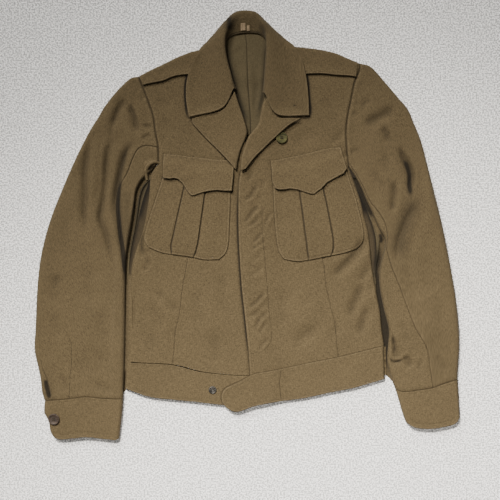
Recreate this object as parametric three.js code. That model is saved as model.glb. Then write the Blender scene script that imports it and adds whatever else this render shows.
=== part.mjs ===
// A waist-length wool field jacket that lies flat on its back with its collar open.
// Millimetres, +Z up from the surface it lies on, +Y towards the collar, +X towards the wearer's left.
// The front panels lie over the back, the lapels, pockets and flaps lie on the fronts, and each
// sleeve is a flattened tube of two pieces with a cuff.

import * as THREE from "three";

// Driving sizes
const BACK_LENGTH = 586; // neck seam to hem, down the centre back
const CLOTH = 1.8; // wool serge with its backing
const BAND_CLOTH = 2.4; // waistband and cuffs, folded double
const SEAM = 0.5; // clearance where two pieces are sewn edge to edge
const ARMHOLE_SEAM = 0.8; // at the armhole, where the sleeve's wall leans
const REST = 0.7; // clearance under a piece that lies on another
const BODY_HEIGHT = 9; // two layers of cloth and the air between them
const SLEEVE_HEIGHT = 16;
const CUFF_HEIGHT = 13;
const FLY_LIFT = 3; // how far the wearer's left front rides on the right one
const LAPEL_RISE = 3.2; // how far the lapels spring up towards their roll
const ROLL_RADIUS = 3.6; // of the fold along a lapel's roll
const LEAF_ROOM = 3.4; // the collar's back leaf lies under the back panels
const PLEAT_RISE = 1.5; // box pleat of a pocket
const TAB_RISE = 3.4; // how far the waistband's tab rides on the band under it
const BAND_PROUD = 0.3; // how far the waistband stands above the fronts
const LAPEL_OVER_FLAP = 2.2; // how far a lapel's point rises over the pocket flap
const LAPEL_SPREAD = 34; // distance from the roll over which a lapel springs up
const RIGHT_LAPEL_LIFT = 0.2;
const PARTING = 0.4; // how far each side of a sleeve's seam is drawn in
const LABEL_GAP = 0.4;
const LABEL_CLOTH = 0.8;
const UNDERARM_DROP = 0.2; // how far the lining in the armpits lies below half the body's height
const BUTTON_SIDES = 16;

// About how wide the pieces are, to set the points round their edges
const WIDTH = { front: 190, lapel: 55, band: 220, backBand: 412 };
const ROUND_TURNS = [0, 0.14, 0.5, 1]; // points round an edge, as shares of its radius
const CUFF_SEAM_SHARE = 0.7; // of a cuff's width, where its points part
const TUBE_SEAM_STATION = 10; // station of a sleeve's fore seam

// Box pleat of a pocket, as shares of its width, and the pocket's points across
const PLEAT = { from: 0.33, to: 0.62, fold: 0.012 };
const POCKET_ACROSS = [0, 0.08, 0.16, 0.24, PLEAT.from - PLEAT.fold, PLEAT.from + PLEAT.fold, 0.4, 0.475, 0.55,
  PLEAT.to - PLEAT.fold, PLEAT.to + PLEAT.fold, 0.71, 0.8, 0.9, 1];
const COLLAR_POINTS = { round: 28, across: 9 };
const LEAF_POINTS = { round: 6, across: 3 }; // points of the leaf over one front
const LABEL_POINTS = { round: [13, 15], across: [1, 3] };

// Pattern sheet: outlines are drawn in squares, x to the wearer's left, y from the collar to the hem
const SQUARES_DOWN_BACK = 366;
const SQUARE = BACK_LENGTH / SQUARES_DOWN_BACK;
const MIDDLE = { x: 247.2, y: 225.36 };
const xOf = (square) => (square - MIDDLE.x) * SQUARE;
const yOf = (square) => (MIDDLE.y - square) * SQUARE;
const FLY = { from: xOf(262), to: xOf(283) }; // where the left front comes down from the right one
const SPLIT_X = xOf(239); // pieces beyond it lie on the left front
const TAB_FLAT = { from: xOf(266), to: xOf(288) }; // where the tab comes down to the band
const LEAF = { y: yOf(40), narrow: 0.62, flat: 34 * SQUARE, end: 50 * SQUARE }; // room for the collar's leaf

// Finishes: colour, roughness, metalness
const FINISH = {
  serge: [0x6f6143, 0.95, 0],
  sergeInside: [0x665a3d, 0.95, 0],
  label: [0xa8977a, 0.9, 0],
  horn: [0x3a2c22, 0.45, 0],
  greenButton: [0x5a6236, 0.4, 0],
  steel: [0x6d6a63, 0.35, 0.9],
};

// Outlines, each as [x, y] on the pattern sheet
const OUTLINE = {
  shoulderRight: [[139, 77], [150, 71.3], [163.3, 65], [180, 57], [192, 52.5], [203, 50], [213, 48],
    [224, 45]],
  shoulderLeft: [[269, 45], [278, 46], [290, 47], [309.7, 49], [325, 51.5], [335.3, 54], [348.7, 59.7],
    [359.5, 64]],
  armholeRight: [[139, 77], [143, 87], [148, 100], [153.7, 116.7], [155.7, 130.7], [158.7, 148], [159, 163]],
  armholeLeft: [[359.5, 64], [359, 71.3], [354.5, 82], [351.5, 96], [349, 108], [346.6, 121], [345.6, 134],
    [346.4, 150], [348.5, 168]],
  sideSeamRight: [[159, 163], [151.5, 175], [149.5, 195], [147, 212], [143, 232], [136.5, 250], [132.5, 264],
    [130.6, 290], [130.2, 330], [129.8, 361]],
  bodyEdgeRight: [[159, 163], [150, 178], [143, 186], [139.5, 195], [137.5, 208], [135, 224], [131.5, 242],
    [128.8, 257], [127.6, 284], [127.2, 320], [126.8, 360]],
  backEdgeLeft: [[348.5, 168], [353.5, 180], [360.5, 194], [366, 206], [371.5, 219], [377, 232], [379, 242],
    [378, 254], [375.6, 268], [375.2, 282], [376.7, 295], [379.5, 310], [381.5, 330], [384, 346]],
  bodyEdgeLeft: [[348.5, 168], [353, 180], [360, 200], [364, 217], [367.5, 230], [370, 250], [372, 270],
    [374.5, 283], [376.5, 295], [379.5, 310], [381.5, 330], [384, 346]],
  neckEdgeRight: [[224, 45], [222.5, 60], [227, 75], [230.5, 89], [235, 104], [239.5, 119], [243.5, 133],
    [246, 146], [251, 160], [253.5, 172], [253, 200], [253, 235], [257, 294], [262, 350], [264, 376]],
  neckEdgeLeft: [[269, 45], [270.5, 60], [269.5, 75], [267.5, 93], [265, 106], [261.5, 125], [256, 134],
    [251, 141], [246.5, 151], [243.5, 161], [241, 171], [239, 182], [238.5, 198], [238.7, 235], [240.2, 265],
    [242.5, 294], [245.3, 319], [248.5, 350], [250.2, 375]],
  waistFrontRight: [[129.8, 361], [140.5, 362], [170, 363.5], [182.5, 365.7], [200.4, 370.6], [231.6, 374.2],
    [250, 375], [264, 376]],
  waistLeft: [[250.2, 375], [279, 369.5], [308.4, 363.2], [337.8, 357.4], [384, 346]],
  hemRight: [[125.8, 388], [138, 392.5], [150.4, 396.5], [173.6, 399.2], [196, 401.4], [222.7, 404.3],
    [245, 405.5]],
  hemLeft: [[232, 410], [237, 411], [242, 410], [251, 406.5], [271.4, 402], [302, 398], [327.6, 392.5],
    [353, 387.4], [384.3, 378.5]],
  hemBack: [[125.8, 387.5], [150.4, 395.5], [196, 400.5], [245, 404.5], [271.4, 401], [302, 397],
    [353, 386.5], [384.3, 378]],
  waistBack: [[126.8, 360], [170, 363.5], [200.4, 370.6], [250, 375], [308.4, 363.2], [384, 346]],
  waistBackRight: [[126.8, 360], [170, 363.5], [200.4, 370.6], [249.9, 375]],
  waistBackLeft: [[250.1, 375], [308.4, 363.2], [384, 346]],
  bandSideRight: [[126.6, 361.6], [125.8, 388]],
  bandSideLeft: [[384, 347.4], [384.3, 378.5]],
  bandEndRight: [[264, 376.4], [245, 405.5]],
  backBandSideRight: [[126.8, 360.4], [125.8, 387.5]],
  backBandSideLeft: [[384, 346.4], [384.3, 378]],
  tabEnd: [[231, 385], [226, 387.4], [222.8, 391.5], [221.8, 396], [222.6, 401], [226, 406], [232, 410]],
  tabTop: [[231, 385], [238, 382], [250.2, 376.4], [279, 370.9], [308.4, 364.6], [337.8, 358.8], [384, 347.4]],
  centreBack: [[249, 35], [247, 45], [247.2, 65], [248.1, 87], [249.5, 105.5], [250.7, 130], [250.5, 250],
    [250, 375]],
  neckBackRight: [[224, 45], [227, 38.5], [236, 36], [249, 35]],
  neckBackLeft: [[249, 35], [258, 35.5], [265.5, 38], [269, 45]],
  sleeveOuterRight: [[139, 77], [132, 78.3], [125, 83.7], [115.3, 94], [104, 108.7], [100, 116], [91.2, 130],
    [76, 160], [60.6, 196], [52.4, 217], [46.3, 237], [41.2, 260.6], [38.2, 289], [36.4, 330], [35.4, 348.4],
    [37.8, 361], [41.4, 378], [43, 392], [45.6, 400]],
  sleeveInnerRight: [[158.4, 163.4], [149.4, 173], [141.4, 181.5], [136.6, 191.5], [134.8, 206], [132.4, 222],
    [129, 241], [126.8, 256], [126.2, 284], [125.8, 320], [125.2, 360], [124, 388], [123.5, 398.4]],
  sleeveOuterLeft: [[359.5, 64], [367.3, 65.7], [372, 68.7], [383.3, 81.3], [396.7, 97.3], [407.3, 110],
    [412.7, 122.7], [419.3, 138.7], [430, 180], [440, 220], [448.3, 260], [455, 300], [458, 330],
    [458.4, 348], [457, 368], [456.6, 379.2]],
  sleeveInnerLeft: [[349.2, 168.2], [355.5, 178], [361.5, 190], [366, 201], [372, 214], [378.5, 229],
    [384, 239], [384, 248], [380.5, 262], [378.5, 276], [379.5, 290], [383.5, 310], [388.2, 330], [387.4, 345],
    [386.5, 360], [390, 375.2], [394.8, 388.8]],
  cuffSeamRight: [[45.6, 400], [60, 399], [71, 398], [86.4, 396.2], [106.4, 398], [123.5, 398.4]],
  cuffSeamLeft: [[456.6, 379.2], [446, 382], [438, 384.8], [430, 387.6], [418, 389.4], [402, 391],
    [394.8, 388.8]],
  cuffOuterRight: [[45.4, 401.2], [45.2, 412], [49.4, 420], [51.2, 430.8], [55, 437]],
  cuffInnerRight: [[123.6, 399.6], [122.8, 410], [121.6, 422], [119.8, 438]],
  cuffHemRight: [[55, 437], [62.4, 438.4], [76, 437.2], [86.4, 436.2], [108, 438.4], [116, 439.2],
    [119.8, 438]],
  cuffOuterLeft: [[456.8, 380.6], [457.6, 392], [459, 416.8]],
  cuffInnerLeft: [[395.4, 390.2], [399.6, 404.8], [402, 412.8], [405.2, 421.6]],
  cuffHemLeft: [[459, 416.8], [454, 422.8], [446.8, 425.2], [430, 428], [413.2, 426.4], [405.2, 421.6]],
  foreSeamRight: [[159, 149], [148, 146], [139, 149], [133, 161], [128, 174], [121.5, 185], [119, 200],
    [120, 218], [123, 240], [125.4, 262], [125.6, 284], [125, 320], [124.4, 360], [122.6, 398.4]],
  foreSeamLeft: [[348.3, 164], [357, 178], [366, 198], [378, 213], [385, 226], [385.5, 248], [390, 265.3],
    [398, 286], [408, 312.7], [414, 328], [426, 348.8], [428.4, 364.8], [432, 388]],
  gorgeRight: [[192.5, 119.6], [198.7, 117.4], [209, 114.2], [220, 112.2], [225.5, 108.5], [230, 101],
    [235, 92.5]],
  gorgeLeft: [[264.4, 99.6], [268, 106.4], [272.4, 115], [277, 118.6], [292, 119], [301, 119.4]],
  lapelRollRight: [[235, 92.5], [239.6, 107], [243.4, 118], [247.2, 132.5], [245.6, 139], [241, 150],
    [238.2, 160], [236.6, 170.5]],
  lapelEdgeRight: [[192.5, 119.6], [192.8, 124], [196, 128], [207, 140], [217.3, 150], [226.7, 160],
    [233.8, 168]],
  lapelRollLeft: [[264.4, 99.6], [261.9, 107], [260.4, 115], [258.2, 125], [252.4, 132.4], [248.2, 138],
    [244.2, 149], [241.4, 160], [240.6, 171]],
  lapelEdgeLeft: [[301, 119.4], [290, 125.4], [284.5, 129.7], [273.3, 140], [265, 148], [255, 158],
    [246, 169.5]],
  lapelLowRight: [[233.8, 168], [236.6, 170.5]],
  lapelLowLeft: [[240.6, 171], [246, 169.5]],
  strapLowRight: [[143.6, 86.3], [150, 84.7], [163.3, 82], [175.3, 77.3], [189, 75.5], [204, 74.5]],
  strapHighRight: [[141.5, 78.4], [150.5, 74], [164, 67.6], [180.6, 59.6], [192.5, 55.4], [202, 53.6]],
  strapLowLeft: [[292, 76], [305.5, 75.2], [320, 74.7], [335.3, 76.2], [349.3, 77], [355.4, 78]],
  strapHighLeft: [[288, 50.2], [309, 52], [324.5, 54.2], [335, 57], [348, 62.4], [357.6, 66.6]],
  strapOutRight: [[141.5, 78.4], [143.6, 86.3]],
  strapInRight: [[202, 53.6], [204, 74.5]],
  strapInLeft: [[288, 50.2], [292, 76]],
  strapOutLeft: [[357.6, 66.6], [355.4, 78]],
  pocketTopRight: [[163.5, 176], [185, 180], [210, 184], [230.5, 184]],
  pocketLowRight: [[149, 247.6], [163, 253], [180, 255.5], [193, 257.4], [204.6, 259.9], [219, 259.6]],
  pocketOutRight: [[163.5, 176], [159, 190], [151, 214], [145.5, 232], [144.5, 239], [149, 247.6]],
  pocketInRight: [[230.5, 184], [230.3, 204], [229.3, 230], [228.7, 243], [226, 253], [219, 259.6]],
  pocketTopLeft: [[273, 186], [290, 184], [310, 182], [330, 176], [346, 170]],
  pocketLowLeft: [[284, 259.4], [297, 261.5], [309.4, 260], [325.7, 256.7], [344.8, 252.8], [356, 249]],
  pocketInLeft: [[273, 186], [273.5, 203.6], [275, 226.5], [276.9, 243.8], [279.4, 253.3], [284, 259.4]],
  pocketOutLeft: [[346, 170], [350, 182], [355, 197], [360, 216], [363.4, 234], [361.5, 243.5], [356, 249]],
  flapTopRight: [[164, 154.5], [176, 155], [190, 157], [200, 158], [217, 160], [234, 161]],
  flapLowRight: [[163.4, 178.5], [170, 179.5], [175, 178.7], [179, 180], [183, 184], [189, 193.4],
    [191.5, 196], [194.5, 196], [200, 194], [205, 192.5], [210, 191.5], [218, 190.7], [225, 191.5], [232, 191.4]],
  flapOutRight: [[164, 154.5], [163.5, 165], [163.4, 178.5]],
  flapInRight: [[234, 161], [233.6, 175], [232, 191.4]],
  flapTopLeft: [[270.6, 161.5], [287.4, 158], [307, 154], [321.7, 150], [340, 147]],
  flapLowLeft: [[275, 189], [278.5, 190.2], [283.6, 190.2], [289.3, 189.2], [297, 190.2], [302, 191.8],
    [309.5, 194.4], [313.5, 194.6], [320.9, 189.2], [326.6, 183], [335.2, 178.2], [343, 174], [346.3, 169]],
  flapInLeft: [[270.6, 161.5], [271.6, 172], [272.4, 183], [275, 189]],
  flapOutLeft: [[340, 147], [343, 158], [346.3, 169]],
  underarmOutRight: [[149.8, 184.5], [143.6, 198], [140, 212], [136, 230], [132, 250]],
  underarmInRight: [[150.6, 183.5], [150, 196], [147.6, 212], [143.6, 232], [136.5, 251]],
  underarmOutLeft: [[364, 221], [366.3, 232], [368, 246], [369.6, 262], [370.6, 272]],
  underarmInLeft: [[367.2, 219], [372.8, 232], [375.4, 243], [374.2, 256], [371.8, 271]],
};

// Collar from the wearer's right gorge round the back of the neck, one row for each section:
// the foot of the stand, the roll, the bend of the leaf and the leaf's edge, each as x, y, height
const COLLAR_HALF = [
  { foot: [236.5, 90, 12.5], roll: [234, 90.5, 18], bend: [223.5, 108.5, 16], edge: [189.6, 118.2, 12.6] },
  { foot: [232.5, 79, 12.5], roll: [231, 77, 20], bend: [210, 94, 17], edge: [186.6, 101, 12.6] },
  { foot: [228.6, 63, 12], roll: [226.8, 62, 21.5], bend: [207, 76, 17.5], edge: [187, 84, 13.6] },
  { foot: [226.4, 51, 11.5], roll: [224.6, 48, 22.5], bend: [207, 60, 17.5], edge: [191, 69, 14] },
  { foot: [226.5, 43, 10.5], roll: [225.5, 36, 22.5], bend: [210, 45, 16.5], edge: [199.6, 54, 13.8] },
  { foot: [228.6, 39, 9.2], roll: [228, 29, 21.5], bend: [209.6, 41, 11], edge: [204.6, 44.6, 5.5] },
  { foot: [231.6, 36.6, 8.2], roll: [231, 23, 20], bend: [215, 33.4, 7.6], edge: [210, 42.6, 0] },
  { foot: [236, 34.8, 7.6], roll: [234, 18, 18], bend: [221.6, 26, 6.4], edge: [217, 50, 0] },
  { foot: [242, 33.6, 7.2], roll: [240.5, 14, 15.5], bend: [233, 14.6, 5], edge: [231, 58, 0] },
  { foot: [249, 33.2, 7], roll: [248.5, 13.8, 15], bend: [247, 11.9, 5], edge: [248, 60, 0] },
];
const COLLAR_OTHER_HALF = [
  { foot: [256, 33.6, 7.2], roll: [255, 14.4, 15.5], bend: [257.4, 14.6, 5], edge: [265, 58, 0] },
  { foot: [260, 35, 7.6], roll: [259, 19.6, 18], bend: [267.4, 23.6, 6.4], edge: [277, 51, 0] },
  { foot: [262.6, 37, 8.2], roll: [262.6, 25, 20], bend: [275.6, 31.4, 7.6], edge: [283.4, 41.6, 0] },
  { foot: [264.6, 39.6, 9.2], roll: [265, 31, 21.5], bend: [281.6, 37.4, 11], edge: [288.6, 43, 5.5] },
  { foot: [266, 44, 10.5], roll: [266.4, 38, 22.5], bend: [284, 44, 16.5], edge: [294.6, 50.4, 13.8] },
  { foot: [265.6, 52, 11.5], roll: [266.8, 49, 22.5], bend: [286, 58, 17.5], edge: [301, 60, 14] },
  { foot: [264.6, 64, 12], roll: [266.4, 62, 21.5], bend: [287, 76, 17.5], edge: [306, 79, 13.6] },
  { foot: [263.4, 81, 12.5], roll: [265.2, 79, 20], bend: [286, 97, 17], edge: [308.2, 99, 12.6] },
  { foot: [262, 94, 12.5], roll: [264.4, 95, 18], bend: [275.6, 114.8, 16], edge: [308.8, 116.6, 12.6] },
];

// Largest folds of the cloth: a line on the pattern sheet, the half width in millimetres, and the
// rise of a ridge or, below nought, the depth of a trough
const FRONT_FOLDS = [
  { line: [[368, 235], [358, 250], [342, 267], [328, 283]], width: 9, rise: -2 },
  { line: [[361, 241], [349, 257], [333, 271]], width: 9, rise: 1.6 },
  { line: [[362, 280], [356, 300], [350, 320]], width: 8, rise: -1.3 },
  { line: [[369, 305], [363, 322], [360, 337]], width: 8, rise: -1.2 },
  { line: [[316, 325], [300, 341], [291, 347]], width: 10, rise: -0.7 },
  { line: [[143, 230], [142, 250], [146, 262]], width: 9, rise: -1.4 },
  { line: [[160, 290], [168, 312], [172, 335]], width: 14, rise: 1.2 },
  { line: [[205, 280], [212, 310], [214, 345]], width: 22, rise: 1.2 },
  { line: [[300, 285], [305, 315], [302, 335]], width: 20, rise: 1.2 },
];
const SLEEVE_FOLDS = [
  { line: [[94, 130], [88, 155], [86, 180], [86, 214], [88, 242]], width: 8, rise: -3 },
  { line: [[121, 130], [111, 147], [106, 178], [102, 215], [108, 240], [119, 274]], width: 8, rise: -3.4 },
  { line: [[103, 133], [99, 160], [96, 200]], width: 8, rise: 1.6 },
  { line: [[126, 96], [121, 112], [114, 130]], width: 9, rise: -3 },
  { line: [[130, 103], [134, 118], [138, 135]], width: 6, rise: -2.6 },
  { line: [[137, 140], [126, 153], [119, 180], [116, 205], [118, 228]], width: 6, rise: -3.6 },
  { line: [[122, 186], [119.5, 203], [122, 236], [126, 272]], width: 5, rise: -3.4 },
  { line: [[60, 273], [56, 288], [50, 305]], width: 14, rise: -1.6 },
  { line: [[90, 290], [92, 330], [92, 370]], width: 26, rise: 1.8 },
  { line: [[362, 126], [378, 118], [395, 107]], width: 11, rise: -2.6 },
  { line: [[380, 127], [386, 135], [388, 146]], width: 7, rise: -1.8 },
  { line: [[399, 145], [404, 159], [410, 176], [411, 194]], width: 8, rise: -3.8 },
  { line: [[414, 203], [406, 220], [398, 240], [396, 265]], width: 10, rise: -3.4 },
  { line: [[394, 180], [393, 200], [390.5, 215]], width: 8, rise: -2.4 },
  { line: [[424, 165], [428, 200], [426, 240]], width: 12, rise: 1.8 },
  { line: [[391, 334], [394.4, 350], [397, 360], [402, 360]], width: 7, rise: -3 },
  { line: [[404, 354], [411, 367]], width: 8, rise: -1.8 },
  { line: [[425, 280], [432, 320], [436, 350]], width: 20, rise: 1.6 },
];

// Height of a sleeve along its length
const SLEEVE_PROFILE = [
  { along: 0, height: BODY_HEIGHT + 0.4 },
  { along: 0.16, height: 13.5 },
  { along: 0.45, height: SLEEVE_HEIGHT + 1.5 },
  { along: 0.75, height: SLEEVE_HEIGHT },
  { along: 1, height: CUFF_HEIGHT + 0.6 },
];

// Buttons and snap, each a dished disc: its place on the sheet, the height of its foot, its diameter and
// height, and the share of its radius at which the dish begins
const FASTENERS = [
  { name: "cuff_button_right", finish: "horn", at: [55.6, 418], foot: CUFF_HEIGHT + 0.6, diameter: 19,
    height: 3.4, dish: 0.6 },
  { name: "throat_button", finish: "greenButton", at: [281.5, 139], foot: BODY_HEIGHT + 1.2, diameter: 19,
    height: 3, dish: 0.6 },
  { name: "snap_stud", finish: "steel", at: [212.8, 389.3], foot: BODY_HEIGHT + 0.9, diameter: 12.6,
    height: 2.6, dish: 0.5 },
];

const jacket = new THREE.Group();

// A line on the sheet, in millimetres, smooth unless it is said to be straight between its points
class Line {
  constructor(points, straight = false) {
    const knots = points.map(([x, y]) => new THREE.Vector3(xOf(x), yOf(y), 0));
    this.follow(straight ? knots : new THREE.CatmullRomCurve3(knots).getPoints(knots.length * 5));
  }

  follow(points) {
    this.points = points;
    this.lengths = [0];
    for (let i = 1; i < points.length; i += 1) {
      this.lengths.push(this.lengths[i - 1] + points[i].distanceTo(points[i - 1]));
    }
    return this;
  }

  at(share) {
    const wanted = share * this.lengths[this.lengths.length - 1];
    let i = 1;
    while (i < this.points.length - 1 && this.lengths[i] < wanted) i += 1;
    const step = this.lengths[i] - this.lengths[i - 1];
    return this.points[i - 1].clone().lerp(this.points[i], step ? (wanted - this.lengths[i - 1]) / step : 0);
  }

  // Shortest distance from a point to the line
  distance(point) {
    let nearest = Infinity;
    for (let i = 1; i < this.points.length; i += 1) {
      const a = this.points[i - 1];
      const b = this.points[i];
      const dx = b.x - a.x;
      const dy = b.y - a.y;
      const along = ((point.x - a.x) * dx + (point.y - a.y) * dy) / (dx * dx + dy * dy || 1);
      const t = THREE.MathUtils.clamp(along, 0, 1);
      nearest = Math.min(nearest, Math.hypot(point.x - a.x - t * dx, point.y - a.y - t * dy));
    }
    return nearest;
  }

  // The same line with other end points
  between(first, last) {
    return Object.create(Line.prototype).follow([first, ...this.points.slice(1, -1), last]);
  }

  // The same line moved sideways, to the left of its direction
  moved(distance) {
    const shifted = this.points.map((p, i) => {
      const a = this.points[Math.max(i - 1, 0)];
      const b = this.points[Math.min(i + 1, this.points.length - 1)];
      const run = new THREE.Vector3().subVectors(b, a).normalize();
      return new THREE.Vector3(p.x - run.y * distance, p.y + run.x * distance, 0);
    });
    return Object.create(Line.prototype).follow(shifted);
  }
}

const line = Object.fromEntries(Object.entries(OUTLINE).map(([name, points]) => [name, new Line(points)]));
line.flapLowRight = new Line(OUTLINE.flapLowRight, true);
line.flapLowLeft = new Line(OUTLINE.flapLowLeft, true);

const foldsOf = (table) =>
  table.map(({ line: points, width, rise }) => ({ crease: new Line(points), width, rise }));
const frontFolds = foldsOf(FRONT_FOLDS);
const sleeveFolds = foldsOf(SLEEVE_FOLDS);

// Rise of all the folds of a table at a point
function folded(folds, point) {
  return folds.reduce((sum, { crease, width, rise }) => {
    const across = crease.distance(point) / width;
    return across > 3 ? sum : sum + rise * Math.exp(-across * across);
  }, 0);
}

// A four-sided piece of cloth between its edges; across runs along top and bottom, down along the sides
function patch(top, bottom, left, right) {
  return (across, down) => {
    const p = top.at(across).multiplyScalar(1 - down).addScaledVector(bottom.at(across), down);
    p.addScaledVector(left.at(down), 1 - across).addScaledVector(right.at(down), across);
    p.addScaledVector(top.at(0), -(1 - across) * (1 - down)).addScaledVector(top.at(1), -across * (1 - down));
    return p.addScaledVector(bottom.at(0), -(1 - across) * down).addScaledVector(bottom.at(1), -across * down);
  };
}

const even = (steps, from = 0, to = 1) =>
  Array.from({ length: steps + 1 }, (_, i) => from + ((to - from) * i) / steps);

// Quarter round: how high the upper face of a free edge stands at a distance from that edge
function quarterRound(distance, radius) {
  const inside = radius - Math.min(Math.max(distance, 0), radius);
  return Math.sqrt(radius * radius - inside * inside);
}

// Shares of a width at which its round edges need their points
function roundShares(width, radius) {
  const first = ROUND_TURNS.map((turn) => (turn * radius) / width);
  return { first, last: first.map((share) => 1 - share).reverse(), end: first.at(-1) };
}

function normalsOf(surface) {
  const last = surface.length - 1;
  return surface.map((row, i) => row.map((_, j) => {
    const [above, below] = [surface[Math.max(i - 1, 0)][j], surface[Math.min(i + 1, last)][j]];
    const down = new THREE.Vector3().subVectors(below, above);
    const side = new THREE.Vector3().subVectors(row[Math.min(j + 1, row.length - 1)], row[Math.max(j - 1, 0)]);
    return new THREE.Vector3().crossVectors(side, down).normalize();
  }));
}

function movedAlong(surface, normals, distance) {
  return surface.map((row, i) => row.map((p, j) => p.clone().addScaledVector(normals[i][j], distance)));
}

const lowered = (surface, depth) =>
  surface.map((row) => row.map((p) => new THREE.Vector3(p.x, p.y, p.z - depth)));

const facesUp = (normals) => normals.flat().reduce((sum, n) => sum + n.z, 0) > 0;

// A closed wall of cloth between two faces that are grids of as many points
function wall(name, finish, faceA, faceB, closed = false) {
  const rows = faceA.length;
  const columns = faceA[0].length;
  const steps = closed ? columns : columns - 1;
  const count = rows * columns;
  const points = [...faceA.flat(), ...faceB.flat()];
  const index = [];
  const quad = (a, b, c, d) => index.push(a, b, c, a, c, d);
  for (let i = 0; i < rows - 1; i += 1) {
    for (let j = 0; j < steps; j += 1) {
      const a = i * columns + j;
      const b = i * columns + ((j + 1) % columns);
      quad(a, b, b + columns, a + columns);
      quad(count + a, count + a + columns, count + b + columns, count + b);
    }
  }
  if (closed) {
    const last = (rows - 1) * columns;
    for (let j = 0; j < columns; j += 1) {
      const next = (j + 1) % columns;
      quad(next, j, count + j, count + next);
      quad(last + j, last + next, count + last + next, count + last + j);
    }
    return solid(name, finish, points, index);
  }
  const rim = [];
  for (let j = 0; j < columns - 1; j += 1) rim.push(j);
  for (let i = 0; i < rows - 1; i += 1) rim.push(i * columns + columns - 1);
  for (let j = columns - 1; j > 0; j -= 1) rim.push((rows - 1) * columns + j);
  for (let i = rows - 1; i > 0; i -= 1) rim.push(i * columns);
  rim.forEach((a, k) => {
    const b = rim[(k + 1) % rim.length];
    quad(b, a, count + a, count + b);
  });
  return solid(name, finish, points, index);
}

// A mesh from points and triangles, turned so that its faces point outwards
function solid(name, finish, points, index) {
  let volume = 0;
  for (let k = 0; k < index.length; k += 3) {
    const [a, b, c] = [points[index[k]], points[index[k + 1]], points[index[k + 2]]];
    volume += a.dot(new THREE.Vector3().crossVectors(b, c));
  }
  const faces = volume < 0 ? index.slice().reverse() : index;
  const geometry = new THREE.BufferGeometry().setFromPoints(points).setIndex(faces);
  return addMesh(name, finish, geometry);
}

function addMesh(name, finish, geometry) {
  const [color, roughness, metalness] = FINISH[finish];
  const mesh = new THREE.Mesh(geometry, new THREE.MeshStandardMaterial({ color, roughness, metalness }));
  mesh.name = name;
  jacket.add(mesh);
  return mesh;
}

const surfaceOf = (shape, across, down, height) =>
  down.map((v) => across.map((u) => {
    const p = shape(u, v);
    p.z = height(p, u, v);
    return p;
  }));

// Upper face of the fronts, without the round of their free edges
function frontHeight(point) {
  return BODY_HEIGHT + folded(frontFolds, point);
}

// The wearer's left front rides up on the right one at the centre front
function flyLift(point) {
  return FLY_LIFT * (1 - THREE.MathUtils.smoothstep(point.x, FLY.from, FLY.to));
}

function fronts() {
  const half = BODY_HEIGHT / 2;
  const rounded = (point, edges) => Math.min(...edges.map((edge) => quarterRound(edge.distance(point), half)));
  const build = (name, shape, across, down, edges, lift) => {
    const face = surfaceOf(shape, across, down, (p) => {
      const round = rounded(p, edges);
      return half + SEAM / 2 + round + (frontHeight(p) - BODY_HEIGHT + lift(p)) * (round / half);
    });
    const normals = normalsOf(face);
    const lining = movedAlong(face, normals, facesUp(normals) ? -CLOTH : CLOTH);
    lining.flat().forEach((p) => { p.z = Math.max(p.z, half + SEAM / 2); });
    wall(name, "serge", face, lining);
  };
  const armRight = joined(line.armholeRight, line.sideSeamRight);
  const armLeft = joined(line.armholeLeft, line.bodyEdgeLeft);
  const rightShape = patch(line.shoulderRight, line.waistFrontRight, armRight, line.neckEdgeRight);
  const leftShape = patch(line.shoulderLeft, line.waistLeft, line.neckEdgeLeft, armLeft);
  const { first, last, end } = roundShares(WIDTH.front, half);
  build("front_right", rightShape, [...first, ...even(11, end, 1).slice(1)], turning(armRight, 8, 11),
    [line.shoulderRight, line.sideSeamRight], () => 0);
  build("front_left", leftShape, [...even(11, 0, 1 - end).slice(0, -1), ...last],
    turning(armLeft, 8, 11), [line.shoulderLeft, line.bodyEdgeLeft], flyLift);
}

// Two lines end to end; the share of its length at which they meet is kept as its turn
function joined(first, second) {
  const whole = Object.create(Line.prototype).follow([...first.points, ...second.points.slice(1)]);
  whole.turn = first.lengths.at(-1) / whole.lengths.at(-1);
  return whole;
}

// Shares down a joined line, with one of them on its turn
const turning = (whole, before, after) =>
  [...even(before, 0, whole.turn), ...even(after, whole.turn, 1).slice(1)];

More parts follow.
